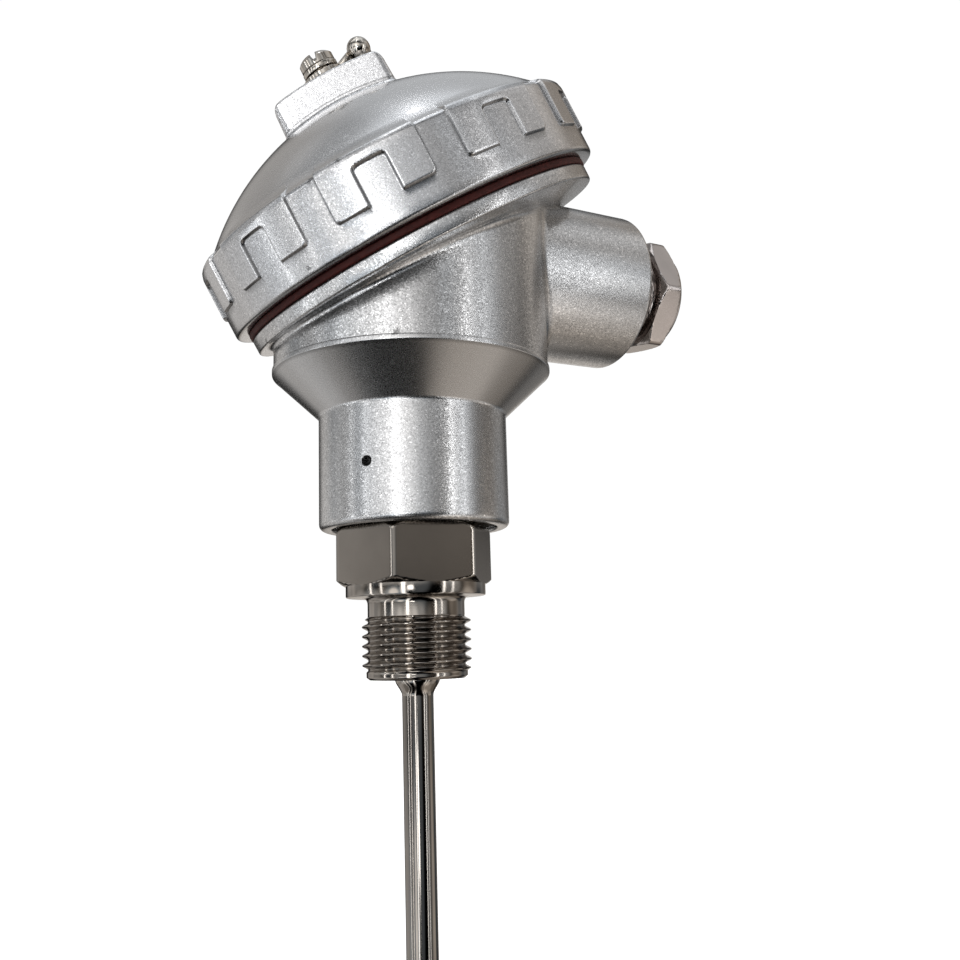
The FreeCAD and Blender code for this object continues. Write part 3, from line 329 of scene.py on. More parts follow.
def flakePaint(name, color, look, axis, origin, bands, chips):
    # silver flake paint. Every small cell has a tone of its own, 1 + s (tone - 1), and tips the normal,
    # N + s k (cell colour - 0.5); s comes from bands of height along an axis, so turned parts stay smooth.
    # The "line" attribute paints shade on the feet of edges and paints a highlight on their tops.
    # A chip is a ball with a warped outline and its own tone
    material, tree, shader = newMaterial(name, look["metallic"], look["roughness"], color)
    spot = tree.nodes.new("ShaderNodeTexCoord").outputs["Object"]
    middle = (0.5, 0.5, 0.5)
    low, high = bands[0][0], bands[-1][0]
    start = float(np.dot(axis, origin)) * mm
    along = vectorMath(tree, "DOT_PRODUCT", spot, axis)
    share = remap(tree, along, start + low * mm, start + high * mm, 0, 1)
    strength = greyRamp(tree, share, [((h - low) / (high - low), k) for h, k in bands])
    cells = addNode(tree, "ShaderNodeTexVoronoi", Scale=look["flakeScale"])
    tree.links.new(spot, cells.inputs["Vector"])
    waves = bump(tree, shader, noiseField(tree, look["waveScale"], 3), look["waves"], 0.0006)
    off = vectorMath(tree, "SUBTRACT", cells.outputs["Color"], middle)
    tip = vectorMath(tree, "MULTIPLY", vectorMath(tree, "MULTIPLY", off, strength), (look["tip"],) * 3)
    normal = vectorMath(tree, "NORMALIZE", vectorMath(tree, "ADD", waves, tip))
    tree.links.new(normal, shader.inputs["Normal"])
    tone = greyRamp(tree, vectorMath(tree, "DOT_PRODUCT", cells.outputs["Color"], (1, 0, 0)), look["tones"])
    shade = scalarMath(tree, "MULTIPLY_ADD", scalarMath(tree, "SUBTRACT", tone, 0.5), strength, 0.5)
    soft = remap(tree, noiseField(tree, look["grainScale"], 2), 0.3, 0.7, -look["grain"], look["grain"])
    shade = scalarMath(tree, "MULTIPLY", shade, scalarMath(tree, "MULTIPLY_ADD", soft, strength, 2))
    # painted shade and painted highlight: the line attribute scales the colour down or up
    line = addNode(tree, "ShaderNodeAttribute", attribute_name="line").outputs["Fac"]
    shade = scalarMath(tree, "MULTIPLY", shade, remap(tree, line, -1, 1, 2 - look["line"], look["line"]))
    noise = addNode(tree, "ShaderNodeTexNoise", Scale=look["chipNoise"])
    tree.links.new(spot, noise.inputs["Vector"])
    warp = vectorMath(tree, "SUBTRACT", noise.outputs["Color"], middle)
    warped = vectorMath(tree, "ADD", spot, vectorMath(tree, "MULTIPLY", warp, (look["chipWarp"],) * 3))
    for point, radius, chipTone in chips:
        away = vectorMath(tree, "DISTANCE", warped, tuple(point))
        chip = remap(tree, away, radius * 0.6 * mm, radius * mm, chipTone, 1)
        shade = scalarMath(tree, "MULTIPLY", shade, chip)
    tree.links.new(vectorMath(tree, "MULTIPLY", color, shade), shader.inputs["Base Color"])
    glossy, dull = look["roughness"] - 0.04, look["roughness"] + 0.04
    tree.links.new(remap(tree, tone, 0.3, 0.7, dull, glossy), shader.inputs["Roughness"])
    shader.inputs["Coat Weight"].default_value = look["coat"]
    shader.inputs["Coat Roughness"].default_value = look["coatRoughness"]
    return material


def toneSpread(color, darker, lighter):
    # two stops of a ramp: the colour times the darker share, and times the lighter share up to white
    return tuple(c * darker for c in color), tuple(min(1, c * lighter) for c in color)


def turnedSteel(name, color, roughness, lineScale, lineBump, stretch=(1, 1, 40)):
    # turned metal: noise squeezed along the turning axis gives fine rings in tone, gloss and height
    material, tree, shader = newMaterial(name, 1.0, roughness, color)
    rings = noiseField(tree, lineScale, 4, stretch)
    stain = noiseField(tree, 90, 4)
    dark, light = toneSpread(color, 0.86, 1.08)
    tree.links.new(colorRamp(tree, stain, [(0.25, dark), (0.75, light)]), shader.inputs["Base Color"])
    tree.links.new(remap(tree, rings, 0.3, 0.7, roughness * 0.8, roughness * 1.3), shader.inputs["Roughness"])
    bump(tree, shader, rings, lineBump, 0.00005)
    return material


def softRubber(name, color, roughness, grainBump):
    material, tree, shader = newMaterial(name, 0.0, roughness, color)
    shader.inputs["Specular IOR Level"].default_value = 0.25
    speck = noiseField(tree, 900, 3)
    dark, light = toneSpread(color, 0.75, 1.25)
    tree.links.new(colorRamp(tree, speck, [(0.3, dark), (0.7, light)]), shader.inputs["Base Color"])
    bump(tree, shader, speck, grainBump, 0.0001)
    return material


def plainFinish(name, color, roughness, metallic, speckScale, speckBump):
    material, tree, shader = newMaterial(name, metallic, roughness, color)
    speck = noiseField(tree, speckScale, 4)
    dark, light = toneSpread(color, 0.9, 1.06)
    tree.links.new(colorRamp(tree, speck, [(0.3, dark), (0.7, light)]), shader.inputs["Base Color"])
    glossy, dull = roughness - 0.05, roughness + 0.05
    tree.links.new(remap(tree, speck, 0.3, 0.7, glossy, dull), shader.inputs["Roughness"])
    bump(tree, shader, speck, speckBump, 0.00006)
    return material


# tones are halved, so that 0.5 is the plain colour and a few cells sparkle up to 1
# line: the colour's factor where the painted shade at an edge is deepest; a painted highlight reaches 2 minus
# it
castLook = {"metallic": 0.92, "roughness": 0.27, "coat": 0.3, "coatRoughness": 0.06, "line": 0.42,
            "flakeScale": 4600, "tip": 0.06, "grainScale": 3000, "grain": 0.07, "waveScale": 110,
            "tones": [(0.0, 0.28), (0.18, 0.41), (0.5, 0.50), (0.82, 0.58), (0.93, 0.68), (1.0, 0.98)],
            "waves": 0.05, "chipNoise": 1500.0, "chipWarp": 0.0022}
capLook = dict(castLook, coat=0.7, coatRoughness=0.02)
# height in millimetres and share of the sparkle: the cone and the dome are smooth, the rest is grainy
headBands = [(13, 0.8), (35.0, 0.8), (35.6, 0.06), (43.4, 0.06), (44.6, 1.0), (90, 0.8)]
capBands = [(0, 0.6), (18.2, 0.6), (18.9, 0.05), (33.2, 0.05), (34.2, 0.9), (44, 0.9)]
# small damage seen on the real one: angle, radius and height in the piece's frame, size, tone; the bright
# fleck on the flange's side is a painted highlight
capChips = [(-121.4, 24.3, 29.7, 0.9, 0.35), (-124.6, 23.7, 29.95, 0.5, 1.7),
            (-127.1, 23.1, 30.2, 0.7, 0.4), (-128.5, 39.9, 18.4, 0.8, 0.35),
            (-136.6, 39.9, 18.2, 0.9, 0.4), (-124.5, 34.6, 22.6, 0.5, 1.6),
            (-147.5, 40.2, 5.9, 0.5, 0.45), (-150.6, 40.2, 10.1, 0.5, 0.45)]
headChips = [(-120.0, 27.4, 44.7, 0.8, 0.35), (-122.5, 24.05, 40.35, 0.45, 1.5),
             (-132.6, 21.2, 37.7, 0.45, 1.5), (-161.7, 27.2, 46.9, 0.6, 0.5)]
# the first is a painted highlight, a bright fleck on the flange's side; the second is a dark chip
flangeChipAndHighlight = [(-156.7, 37.7, 1.5, 0.8, 1.9), (178.0, 37.6, 0.4, 0.8, 0.5)]


def chipPlaces(chips, frameOf):
    # (angle, radius, height) to a world point, with the chip's size and tone
    return [(toWorld(ringPoints(r, h, np.radians(a)), frameOf), size, tone) for a, r, h, size, tone in chips]


castPaint = flakePaint("castPaint", (0.56, 0.56, 0.565), castLook, (0, 0, 1), (0, 0, 0), headBands,
                       chipPlaces(headChips, worldFrame) + chipPlaces(flangeChipAndHighlight, capFrame))
capPaint = flakePaint("capPaint", (0.57, 0.57, 0.58), capLook, tuple(capFrame[0][2]), capFrame[1], capBands,
                      chipPlaces(capChips, capFrame))
stainless = turnedSteel("stainless", (0.31, 0.283, 0.255), 0.10, 400, 0.05)
sheathSteel = turnedSteel("sheathSteel", (0.25, 0.232, 0.213), 0.10, 300, 0.08, (1, 1, 0.05))
nickel = turnedSteel("nickel", (0.50, 0.465, 0.42), 0.12, 500, 0.15, (1, 1, 1))
platedNut = turnedSteel("platedNut", (0.44, 0.402, 0.385), 0.16, 350, 0.15, (40, 1, 1))
silicone = softRubber("silicone", (0.075, 0.014, 0.011), 0.55, 0.15)
blackRubber = softRubber("blackRubber", (0.018, 0.018, 0.018), 0.6, 0.25)
fibre = softRubber("fibre", (0.20, 0.18, 0.15), 0.8, 0.5)
ceramic = plainFinish("ceramic", (0.80, 0.78, 0.72), 0.55, 0.0, 500, 0.15)
brass = plainFinish("brass", (0.72, 0.53, 0.24), 0.28, 1.0, 400, 0.12)
wireSleeve = plainFinish("wireSleeve", (0.80, 0.80, 0.77), 0.5, 0.0, 700, 0.15)
print("materials made")

# head casting: turned neck and cone, upright wall cut by the slanted flange, cable boss, and blends
head = {"neckRadius": 18.5, "bodyRadius": 27.2, "cavityRadius": 24.2, "floor": 43.9, "turns": 256,
        "bossRadius": 16.8, "bossEnd": 49.0, "bossBlend": 2.6, "hollow": 9.5, "ledgeStart": 30.2,
        "ledgeEnd": 33.2, "ledgeBore": 8.4, "glandBore": 10.05, "window": 14.6, "flangeBlend": (0.9, 1.4),
        "flangeRadius": 37.75, "flangeThick": 3.0, "flangeRecess": 2.2, "spigotRadius": 35.4,
        "spigotBore": 32.0, "spigotTop": 11.0, "spigotRoot": 34.75, "capPitch": 2.0, "lugRadius": 3.8,
        "lugReach": 30.6, "postRadius": 4.0, "postTop": 48.0, "postPlace": 16.5, "tappedHole": 2.05,
        "pinTurn": -142.0, "pinLevel": 24.0, "pinRadius": 0.98, "pinDepth": 3.2}


def flangeUnderside(x, below=0):
    # height of the flange's slanted underside over a point at x, less a distance square to it
    axis = capFrame[0][2]
    return capFrame[1][2] + (-below - (x - capFrame[1][0]) * axis[0]) / axis[2]


def windowedFaces(grid, inWindow):
    # faces of a tube wall whose outer and inner halves mirror each other, less those in the window, whose rim
    # is closed by quads from the outer half to the inner one
    rows, columns = grid.shape[:2]
    half = columns // 2
    faces = gridFaces(rows, columns, True, True)
    column = np.arange(len(faces)) % columns
    gone = inWindow[faces].all(axis=1) & (column != half - 1) & (column != columns - 1)
    kept = faces[~gone]
    outer = faces[gone & (column < half - 1)]
    edges = np.concatenate([outer[:, [k, (k + 1) % 4]] for k in range(4)])
    key = edges.min(axis=1) * rows * columns + edges.max(axis=1)
    once = np.isin(key, [k for k, n in zip(*np.unique(key, return_counts=True)) if n == 1])
    rim = edges[once]
    mirror = (rim // columns) * columns + columns - 1 - rim % columns
    return np.concatenate([kept, np.stack([rim[:, 1], rim[:, 0], mirror[:, 0], mirror[:, 1]], axis=1)])


def neckWithPinHole():
    # lathe surface with a round blind hole: grid points inside its rim go in along the neck's radius
    neck, size = head["neckRadius"], head["pinRadius"]
    outline = roundedLoop([(16.1, 13, 0.4), (neck, 13, 1.2), (neck, 35.2, 1.0), (26.9, 43.0, 0.5),
                           (27.5, 43.5, 0.25), (27.5, 44.5, 0.3), (26.2, 44.6), (24.6, 44.2),
                           (24.2, 44.0, 0.6), (10, 44, 0.5), (10, 28.8), (12.05, 28.8), (12.05, 16.5),
                           (16.1, 16.5)])
    start = np.argmax(outline[:, 0] >= neck - 0.001)
    # more rows and columns near the hole
    extra = np.concatenate([np.linspace(14.6, 22.4, 6), np.linspace(22.8, 25.2, 25),
                            np.linspace(25.6, 34.0, 6)])
    between = np.stack([np.full_like(extra, neck), extra], axis=1)
    outline = np.concatenate([outline[:start + 1], between, outline[start + 1:]])
    centre = np.radians(head["pinTurn"])
    dense = np.radians(np.linspace(-4.4, 4.4, 29))
    around = np.linspace(dense[-1], 2 * np.pi + dense[0], head["turns"] - 27)[1:-1]
    angle = (np.concatenate([dense, around]) + centre)[:, None]
    radius, level = outline[None, :, 0], outline[None, :, 1]
    # distance along the surface from the hole's middle, across and up
    across = (np.mod(angle - centre + np.pi, 2 * np.pi) - np.pi) * neck
    far = np.hypot(across, level - head["pinLevel"])
    depth = np.where(np.abs(radius - neck) < 0.01, head["pinDepth"] * smoothStep(far, size, size - 0.1), 0)
    return ringPoints(radius - depth, level, angle)


def makeHead():
    shell = Shell()
    shell.add(neckWithPinHole())
    angle = fullTurn(head["turns"])
    rise = np.linspace(0, 1, 22)

    def upright(radius, share):
        # wall from the floor to a little way into the flange above it
        top = flangeUnderside(radius * np.cos(angle)) + 0.8
        return ringPoints(radius, head["floor"] + (top - head["floor"])[:, None] * share, angle[:, None])

    outside, inside = upright(head["bodyRadius"], rise), upright(head["cavityRadius"], rise[::-1])
    wall = np.concatenate([outside, inside], axis=1)
    # the cable's way through the wall: its steps stay hidden inside the boss, whose own lining is round
    mirrored = np.concatenate([outside, outside[:, ::-1]], axis=1).reshape(-1, 3)
    fromBoss = np.hypot(mirrored[:, 1], mirrored[:, 2] - bossLevel)
    inWindow = (wall.reshape(-1, 3)[:, 0] > 0) & (fromBoss < head["window"])
    shell.add(wall, faces=windowedFaces(wall, inWindow))
    # flange: a ring whose inner edge follows the upright cavity, so its hole is an ellipse in its own plane
    wide, thick = head["flangeRadius"], head["flangeThick"]
    bore, recess = head["spigotBore"], head["flangeRecess"]
    throat = 24.0  # stands for the inner edge in the outline
    loop = roundedLoop([(throat, 0), (wide, 0, 0.45), (wide, thick, 0.5), (bore, thick), (bore, recess),
                        (throat, recess)], 4)
    c, s = np.cos(angle)[:, None], np.sin(angle)[:, None]
    # r solves (offset + r c cos t - h sin t)^2 + (r s)^2 = cavity^2 at height h
    level = loop[None, :, 1]
    offset = capFrame[1][0] - level * np.sin(tilt)
    square = (c * np.cos(tilt)) ** 2 + s ** 2
    middle = c * np.cos(tilt) * offset
    edge = (-middle + np.sqrt(middle ** 2 - square * (offset ** 2 - head["cavityRadius"] ** 2))) / square
    radius = np.where(loop[None, :, 0] <= throat + 0.01, edge, loop[None, :, 0])
    return shell.add(ringPoints(radius, level, angle[:, None]), frameOf=capFrame)


def makeBoss(shell):
    # tube from the cavity wall out: each ring of the inner end lies on the upright wall, x = sqrt(R^2 - y^2)
    outer, end, bore, hollow = head["bossRadius"], head["bossEnd"], head["glandBore"], head["hollow"]
    ledge, ledgeStart, ledgeEnd = head["ledgeBore"], head["ledgeStart"], head["ledgeEnd"]
    loop = roundedLoop([(outer, 0), (outer, end, 0.9), (11.0, end, 0.3), (bore, end - 0.9, 0.2),
                        (bore, ledgeEnd), (ledge, ledgeEnd, 0.2), (ledge, ledgeStart, 0.2),
                        (hollow, ledgeStart), (hollow, 0)], 6)
    angle = fullTurn(224)[:, None]
    radius = loop[None, :, 0]
    root = np.sqrt((head["cavityRadius"] - 0.04) ** 2 - (radius * np.cos(angle)) ** 2)
    shell.add(ringPoints(radius, np.maximum(loop[None, :, 1], root), angle), frameOf=bossFrame)


def blendStrip(centre, footA, footB, steps=9, sink=0.5):
    # arc from footA to footB round the rolling ball's centre, closed by a point sunk behind the corner
    u, v = footA - centre, footB - centre
    size = np.linalg.norm(u, axis=1, keepdims=True)
    angle = np.arccos(np.clip((u * v).sum(1, keepdims=True) / size ** 2, -1, 1))
    share = np.linspace(0, 1, steps)[None, :, None]
    arc = centre[:, None] + arcBetween(u[:, None], v[:, None], share, angle[:, None])
    corner = centre + (u + v) * (1 + sink)
    return np.concatenate([arc, corner[:, None]], axis=1)


def bossBlend():
    # ball of radius b touching both cylinders: its centre is on the two cylinders grown by b
    angle = fullTurn(224)
    body, boss = head["bodyRadius"], head["bossRadius"]
    reach, grown = body + head["bossBlend"], boss + head["bossBlend"]
    y, z = grown * np.cos(angle), grown * np.sin(angle)
    x = np.sqrt(reach ** 2 - y ** 2)
    centre = np.stack([x, y, z + bossLevel], axis=1)
    onBody = np.stack([x * body / reach, y * body / reach, z + bossLevel], axis=1)
    onBoss = np.stack([x, y * boss / grown, z * boss / grown + bossLevel], axis=1)
    return blendStrip(centre, onBody, onBoss)


def flangeBlend():
    # ball touching the upright body and the flange's underside, smaller where the flange stands out least
    least, more = head["flangeBlend"]
    angle = fullTurn(224)
    b = least + more * (1 + np.cos(angle)) / 2
    reach = head["bodyRadius"] + b
    x, y = reach * np.cos(angle), reach * np.sin(angle)
    centre = np.stack([x, y, flangeUnderside(x, b)], axis=1)
    onBody = centre.copy()
    onBody[:, :2] *= (head["bodyRadius"] / reach)[:, None]
    return blendStrip(centre, onBody, centre + b[:, None] * capFrame[0][2])


def spigot():
    # threaded ring that the cap screws on
    bore, root, top = head["spigotBore"], head["spigotRoot"], head["spigotTop"]
    thread = threadedGrid(3.6, top - 0.2, head["spigotRadius"], root, head["capPitch"], 192, 10, 0.9, 0.9)
    return threadBetween([(bore, 1.9), (root, 1.9)], thread, [(root - 0.3, top), (bore, top)])


headShell = makeHead()
makeBoss(headShell)
headShell.add(bossBlend())
headShell.add(flangeBlend())
headShell.add(spigot(), frameOf=capFrame)
hole, lug, reach = head["tappedHole"], head["lugRadius"], head["lugReach"]
lugOutline = [(0.001, 25.2), (lug, 25.2), (lug, reach, 0.5), (hole, reach), (hole, 25.4), (0.001, 25.4)]
headShell.add(lathe(roundedLoop(lugOutline), 64), frameOf=lugFrame)
post, top = head["postRadius"], head["postTop"]
postOutline = [(hole, 43.5), (post, 43.5), (post, top, 0.3), (hole, top)]
for side in (1, -1):
    postFrame = (np.eye(3), np.array([0, head["postPlace"] * side, 0]))
    headShell.add(lathe(roundedLoop(postOutline), 48), frameOf=postFrame)
headPiece = addPiece("head_casting", headShell, castPaint, "head", "head_housing")
onHead = localPoints(headPiece, worldFrame)
onFlange = localPoints(headPiece, capFrame)
# painted shade: dark bands under the lip at the cone's top and along the flange's top edge under the cap, and
# a dark inside of the pin hole
undercut = (np.abs(onHead[:, 2] - 43.25) < 0.22) & (np.hypot(onHead[:, 0], onHead[:, 1]) > 26.5)
bevel = (np.abs(onFlange[:, 2] - 2.72) < 0.2) & (np.hypot(onFlange[:, 0], onFlange[:, 1]) > 37.3)
pinAxis = ringPoints(1.0, 0.0, np.radians(head["pinTurn"]))
fromPin = np.linalg.norm(np.cross(onHead - [0, 0, head["pinLevel"]], pinAxis), axis=1)
inHole = (fromPin < head["pinRadius"] - 0.03) & (onHead @ pinAxis > 14)
markPaintedShadeAndHighlight(headPiece, np.clip(undercut * 0.8 + bevel * 0.8 + inHole, 0, 1))
print("head made")

# screw cap: skirt and dome turned, with ten raised arches whose edges roll over within half a millimetre
cap = {"radius": 40.25, "bottom": 4.40, "skirtTopRadius": 40.0, "domeEdge": (38.7, 18.55), "apex": 35.7,
       "raise": 0.6, "archBottom": 9.3, "notchTop": 16.3, "arches": 10, "edgeWidth": 0.46, "archCorner": 0.9,
       "bore": 35.48, "inner": 34.5, "threadTop": 12.2, "threadDepth": 0.55, "wall": 3.0}


def domeRadius():
    # sphere through the dome's edge and its apex: (edge^2 + rise^2) / 2 rise
    rise = cap["apex"] - cap["domeEdge"][1]
    return (cap["domeEdge"][0] ** 2 + rise ** 2) / (2 * rise)


def domeHeight(square, inward=0):
    # height of the dome, or of a sphere inside it, over a point at a squared distance from the axis:
    # apex - R + sqrt((R - inward)^2 - square)
    size = domeRadius()
    return cap["apex"] - size + np.sqrt(np.maximum((size - inward) ** 2 - square, 0))


def roundedBoxDistance(u, v, halfU, halfV, corner):
    # signed distance to a box with rounded corners: |q+| + min(max(qx, qy), 0) - corner, where q is
    # |p| - half + corner
    qx, qy = np.abs(u) - halfU + corner, np.abs(v) - halfV + corner
    return np.hypot(np.maximum(qx, 0), np.maximum(qy, 0)) + np.minimum(np.maximum(qx, qy), 0) - corner


def archDistance(angle, height):
    # distances to the arch's box, three sectors wide, and to the one-sector notch in it that is open below
    sector = 2 * np.pi / cap["arches"] / 4
    phase = np.mod(angle - capStop + np.pi / 2 + 2 * sector, 4 * sector) - 2 * sector
    across = phase * cap["radius"]
    width = sector * cap["radius"]
    half, corner = cap["bottom"] + 20, cap["archCorner"]  # the boxes are far taller than the skirt
    outer = roundedBoxDistance(across, height - cap["archBottom"] - half, 1.5 * width, half, corner)
    notch = roundedBoxDistance(across, height - cap["notchTop"] + half, 0.5 * width, half, corner)
    return outer, notch


def archShare(angle, height):
    # 1 on a raised arch, 0 beside it, easing over the width of its edge
    half = cap["edgeWidth"] / 2
    outer, notch = archDistance(angle, height)
    return (1 - smoothStep(outer, -half, half)) * smoothStep(notch, -half, half)


def archAngles():
    # samples crowd at each sector's edge, where an arch's wall rises, and a little less over its corner
    sector = 2 * np.pi / cap["arches"] / 4
    half, corner = cap["edgeWidth"] / 2 * 1.15, cap["archCorner"] + 0.2
    steps = np.array([0.4, 0.66, 1]) * corner
    near = np.concatenate([-steps[::-1], np.linspace(-half, half, 6), steps]) / cap["radius"]
    far = np.linspace(near[-1], sector + near[0], 4)[1:-1]
    edges = sector * (np.arange(4 * cap["arches"]) + 0.5)[:, None]
    return (np.concatenate([near, far])[None, :] + edges).ravel() + capStop - np.pi / 2


def capProfile():
    # outer outline from rim to apex; dense where arches start and where a notch ends
    half, corner = cap["edgeWidth"] / 2 * 1.15, cap["archCorner"] + 0.1
    bottom, arch, notch = cap["bottom"], cap["archBottom"], cap["notchTop"]
    h = np.concatenate([np.linspace(bottom + 0.8, arch - half, 4)[:-1], np.linspace(-half, half, 6) + arch,
                        np.linspace(half, corner, 4)[1:] + arch,
                        np.linspace(arch + corner, notch - corner, 4)[1:-1],
                        np.linspace(-corner, -half, 4)[:-1] + notch, np.linspace(-half, half, 6) + notch])
    r = cap["radius"] - (cap["radius"] - cap["skirtTopRadius"]) * np.clip((h - bottom) / 12.5, 0, 1)
    rim = [[cap["bore"], bottom], [39.45, bottom], [39.76, bottom + 0.06], [40.02, bottom + 0.23],
           [40.19, bottom + 0.49]]
    bend = roundedLoop([(cap["skirtTopRadius"], 16.6), (39.95, 18.3, 1.3), (38.2, 18.9), (20, 16)], 8)[1:10]
    ring = np.linspace(37.9, 0.0, 30)
    return np.concatenate([rim, np.stack([r, h], 1), bend, np.stack([ring, domeHeight(ring ** 2)], 1)])


def makeCap():
    outline = capProfile()
    angle = archAngles()[:, None]
    r, h = outline[None, :, 0], outline[None, :, 1]
    share = archShare(angle, h) * (r > 38.0)
    # an arch stands out until the shoulder turns into the dome, and lifts the shoulder a little
    out = cap["raise"] * share * (1 - smoothStep(h, 18.6, 19.0) * (r < 38.6))
    outer = ringPoints(r + out, h + 0.25 * share * (h > 18), angle)
    bottom, top, bore, inner = cap["bottom"], cap["threadTop"], cap["bore"], cap["inner"]
    ring = np.linspace(0, inner, 14)
    lining = np.concatenate([np.stack([ring, domeHeight(ring ** 2, cap["wall"])], 1),
                             [[inner, top + 0.4], [inner + 0.3, top], [bore, top]]])
    inside = ringPoints(lining[None, :, 0], lining[None, :, 1], angle)
    # thread grooves cut outwards from the bore, fading at both ends
    level = np.linspace(top - 0.2, bottom + 0.5, 31)[None, :]
    fade = smoothStep(level, bottom + 0.6, bottom + 1.4) * (1 - smoothStep(level, top - 1.0, top - 0.3))
    wave = threadWave(level / head["capPitch"] - angle / (2 * np.pi))
    threaded = ringPoints(bore + cap["threadDepth"] * fade * wave, level, angle)
    return Shell().add(np.concatenate([outer, inside, threaded], axis=1), frameOf=capFrame)


# block for the chain screw: corner and edge round its sides and its top, foot is the fillet out of the dome
block = {"length": 24.0, "width": 13.0, "corner": 1.3, "top": 42.5, "crown": 72.0, "taper": 2.0, "edge": 0.5,
         "foot": 1.5, "endRoll": 1.9}


def blockOutline():
    # rounded rectangle and its outward directions: arcs round the corner centres, and points along the sides
    corner, halfL, halfW = block["corner"], block["length"] / 2, block["width"] / 2
    points, out = [], []
    for index, (sx, sy) in enumerate([(1, 1), (-1, 1), (-1, -1), (1, -1)]):
        arc = np.linspace(0, np.pi / 2, 9) + index * np.pi / 2
        normal = np.stack([np.cos(arc), np.sin(arc)], axis=1)
        centre = np.array([sx * (halfL - corner), sy * (halfW - corner)])
        side = -2 * centre * ([1, 0] if index % 2 == 0 else [0, 1])
        straight = centre + corner * normal[-1] + side * np.linspace(0, 1, 18)[1:-1, None]
        points += [centre + corner * normal, straight]
        out += [normal, np.broadcast_to(normal[-1], (16, 2))]
    return np.concatenate(points), np.concatenate(out)


def makeBlock(shell):
    # rows of offset outlines: a concave arc out of the dome, tapered sides, a rolled edge and a crowned top
    outline, out = blockOutline()
    foot, edge, lean = block["foot"], block["edge"], np.tan(np.radians(block["taper"]))
    rows = []

    def domeAt(flat):
        return domeHeight((flat ** 2).sum(axis=1))

    def crownAt(flat):
        # a wide sphere, which rolls over in a small arc towards the block's two ends
        wide, small = block["crown"], block["endRoll"]
        past = np.clip(np.abs(flat[:, 0]) - (block["length"] / 2 - small), 0, small * 0.999)
        roll = small - np.sqrt(small ** 2 - past ** 2)
        return block["top"] - wide + np.sqrt(wide ** 2 - (flat ** 2).sum(axis=1)) - roll

    def addRow(flat, height):
        rows.append(np.column_stack([flat, height]))

    tall = (crownAt(outline) - domeAt(outline)).min()
    addRow(outline * 0.001, domeAt(outline * 0.001) - 1.5)
    addRow(outline + out * (foot + tall * lean), domeAt(outline) - 1.2)
    for turn in np.linspace(-0.12, np.pi / 2, 10):
        flat = outline + out * (foot * (1 - np.sin(turn)) + tall * lean)
        addRow(flat, domeAt(flat) + foot * (1 - np.cos(turn)))
    low, high = rows[-1][:, 2], crownAt(outline) - edge
    for share in np.concatenate([[0.02, 0.05, 0.08], np.linspace(0, 1, 9)[1:]]):
        addRow(outline + out * (tall * lean * (1 - share)), low + (high - low) * share)
    for turn in np.linspace(0, np.pi / 2, 7)[1:]:
        flat = outline - out * edge * (1 - np.cos(turn))
        addRow(flat, crownAt(flat) - edge * (1 - np.sin(turn)))
    inner = outline - out * edge
    for share in np.linspace(1, 0.001, 10)[1:]:
        addRow(inner * share, crownAt(inner * share))
    shell.add(np.stack(rows) @ turnAxes(capStop), wrapRows=False, frameOf=capFrame, capEnds=True)


capShell = makeCap()
makeBlock(capShell)
capPiece = addPiece("screw_cap_casting", capShell, capPaint, "cap", "screw_cap")


def capPaintedShadeAndHighlight():
    # painted shade: a thin dark line round each arch, where the skirt meets its edge, and dark ones where the
    # block's side leaves its foot and round the rim; a painted highlight, a bright line, on the edge's top
    x, y, h = localPoints(capPiece, capFrame).T
    r = np.hypot(x, y)
    outer, notch = archDistance(np.arctan2(y, x), h)
    beyond = np.maximum(outer, -notch)
    # painted shade at the foot of each arch's edge, painted highlight on its top
    foot = 1 - smoothStep(np.abs(beyond - 0.08), 0.08, 0.3)
    top = 1 - smoothStep(np.abs(beyond + 0.3), 0.02, 0.2)
    onSkirt = (r > 39.5) & (h < 18.0) & (h > cap["bottom"] + 0.6)
    c, s = np.cos(capStop), np.sin(capStop)
    beside = roundedBoxDistance(c * x + s * y, c * y - s * x, block["length"] / 2, block["width"] / 2,
                                block["corner"])
    overFoot = h - domeHeight(r ** 2) - block["foot"]
    atFoot = (np.abs(overFoot - 0.05) < 0.16) & (np.abs(beside) < 1.2) & (h > 20)
    onRim = (h < cap["bottom"] + 0.3) & (r > 38.5)
    return np.where(onSkirt, foot - 0.6 * top, 0) + atFoot * 0.9 + onRim * 0.8


markPaintedShadeAndHighlight(capPiece, capPaintedShadeAndHighlight())
ring = lathe(roundedLoop([(35.45, 3.0), (37.9, 3.0, 0.35), (37.9, 4.35, 0.35), (35.45, 4.35)]), 224)
addPiece("cap_sealing_ring", Shell().add(ring, frameOf=capFrame), silicone, "head", "cap_gasket")
print("cap made")

# process fitting: weld, thread, relief, collar, hexagon and the thread into the neck
fitting = {"crest": 10.4775, "root": 9.32, "pitch": 1.8143, "length": 15.5, "relief": 3.7, "weldRadius": 4.3,
           "nose": 9.7, "noseTop": -13.9, "collar": 13.5, "bore": 3.05, "hexFlats": 27.0, "hexCorner": 15.56,
           "hexTurn": 50.0, "hexBottom": 2.2, "hexTop": 15.0, "neckTop": 26.9, "perPitch": 14, "turns": 160}
sheath = {"radius": 3.0, "round": 0.8, "inner": 2.2, "bottom": -100.0, "top": 27.0}


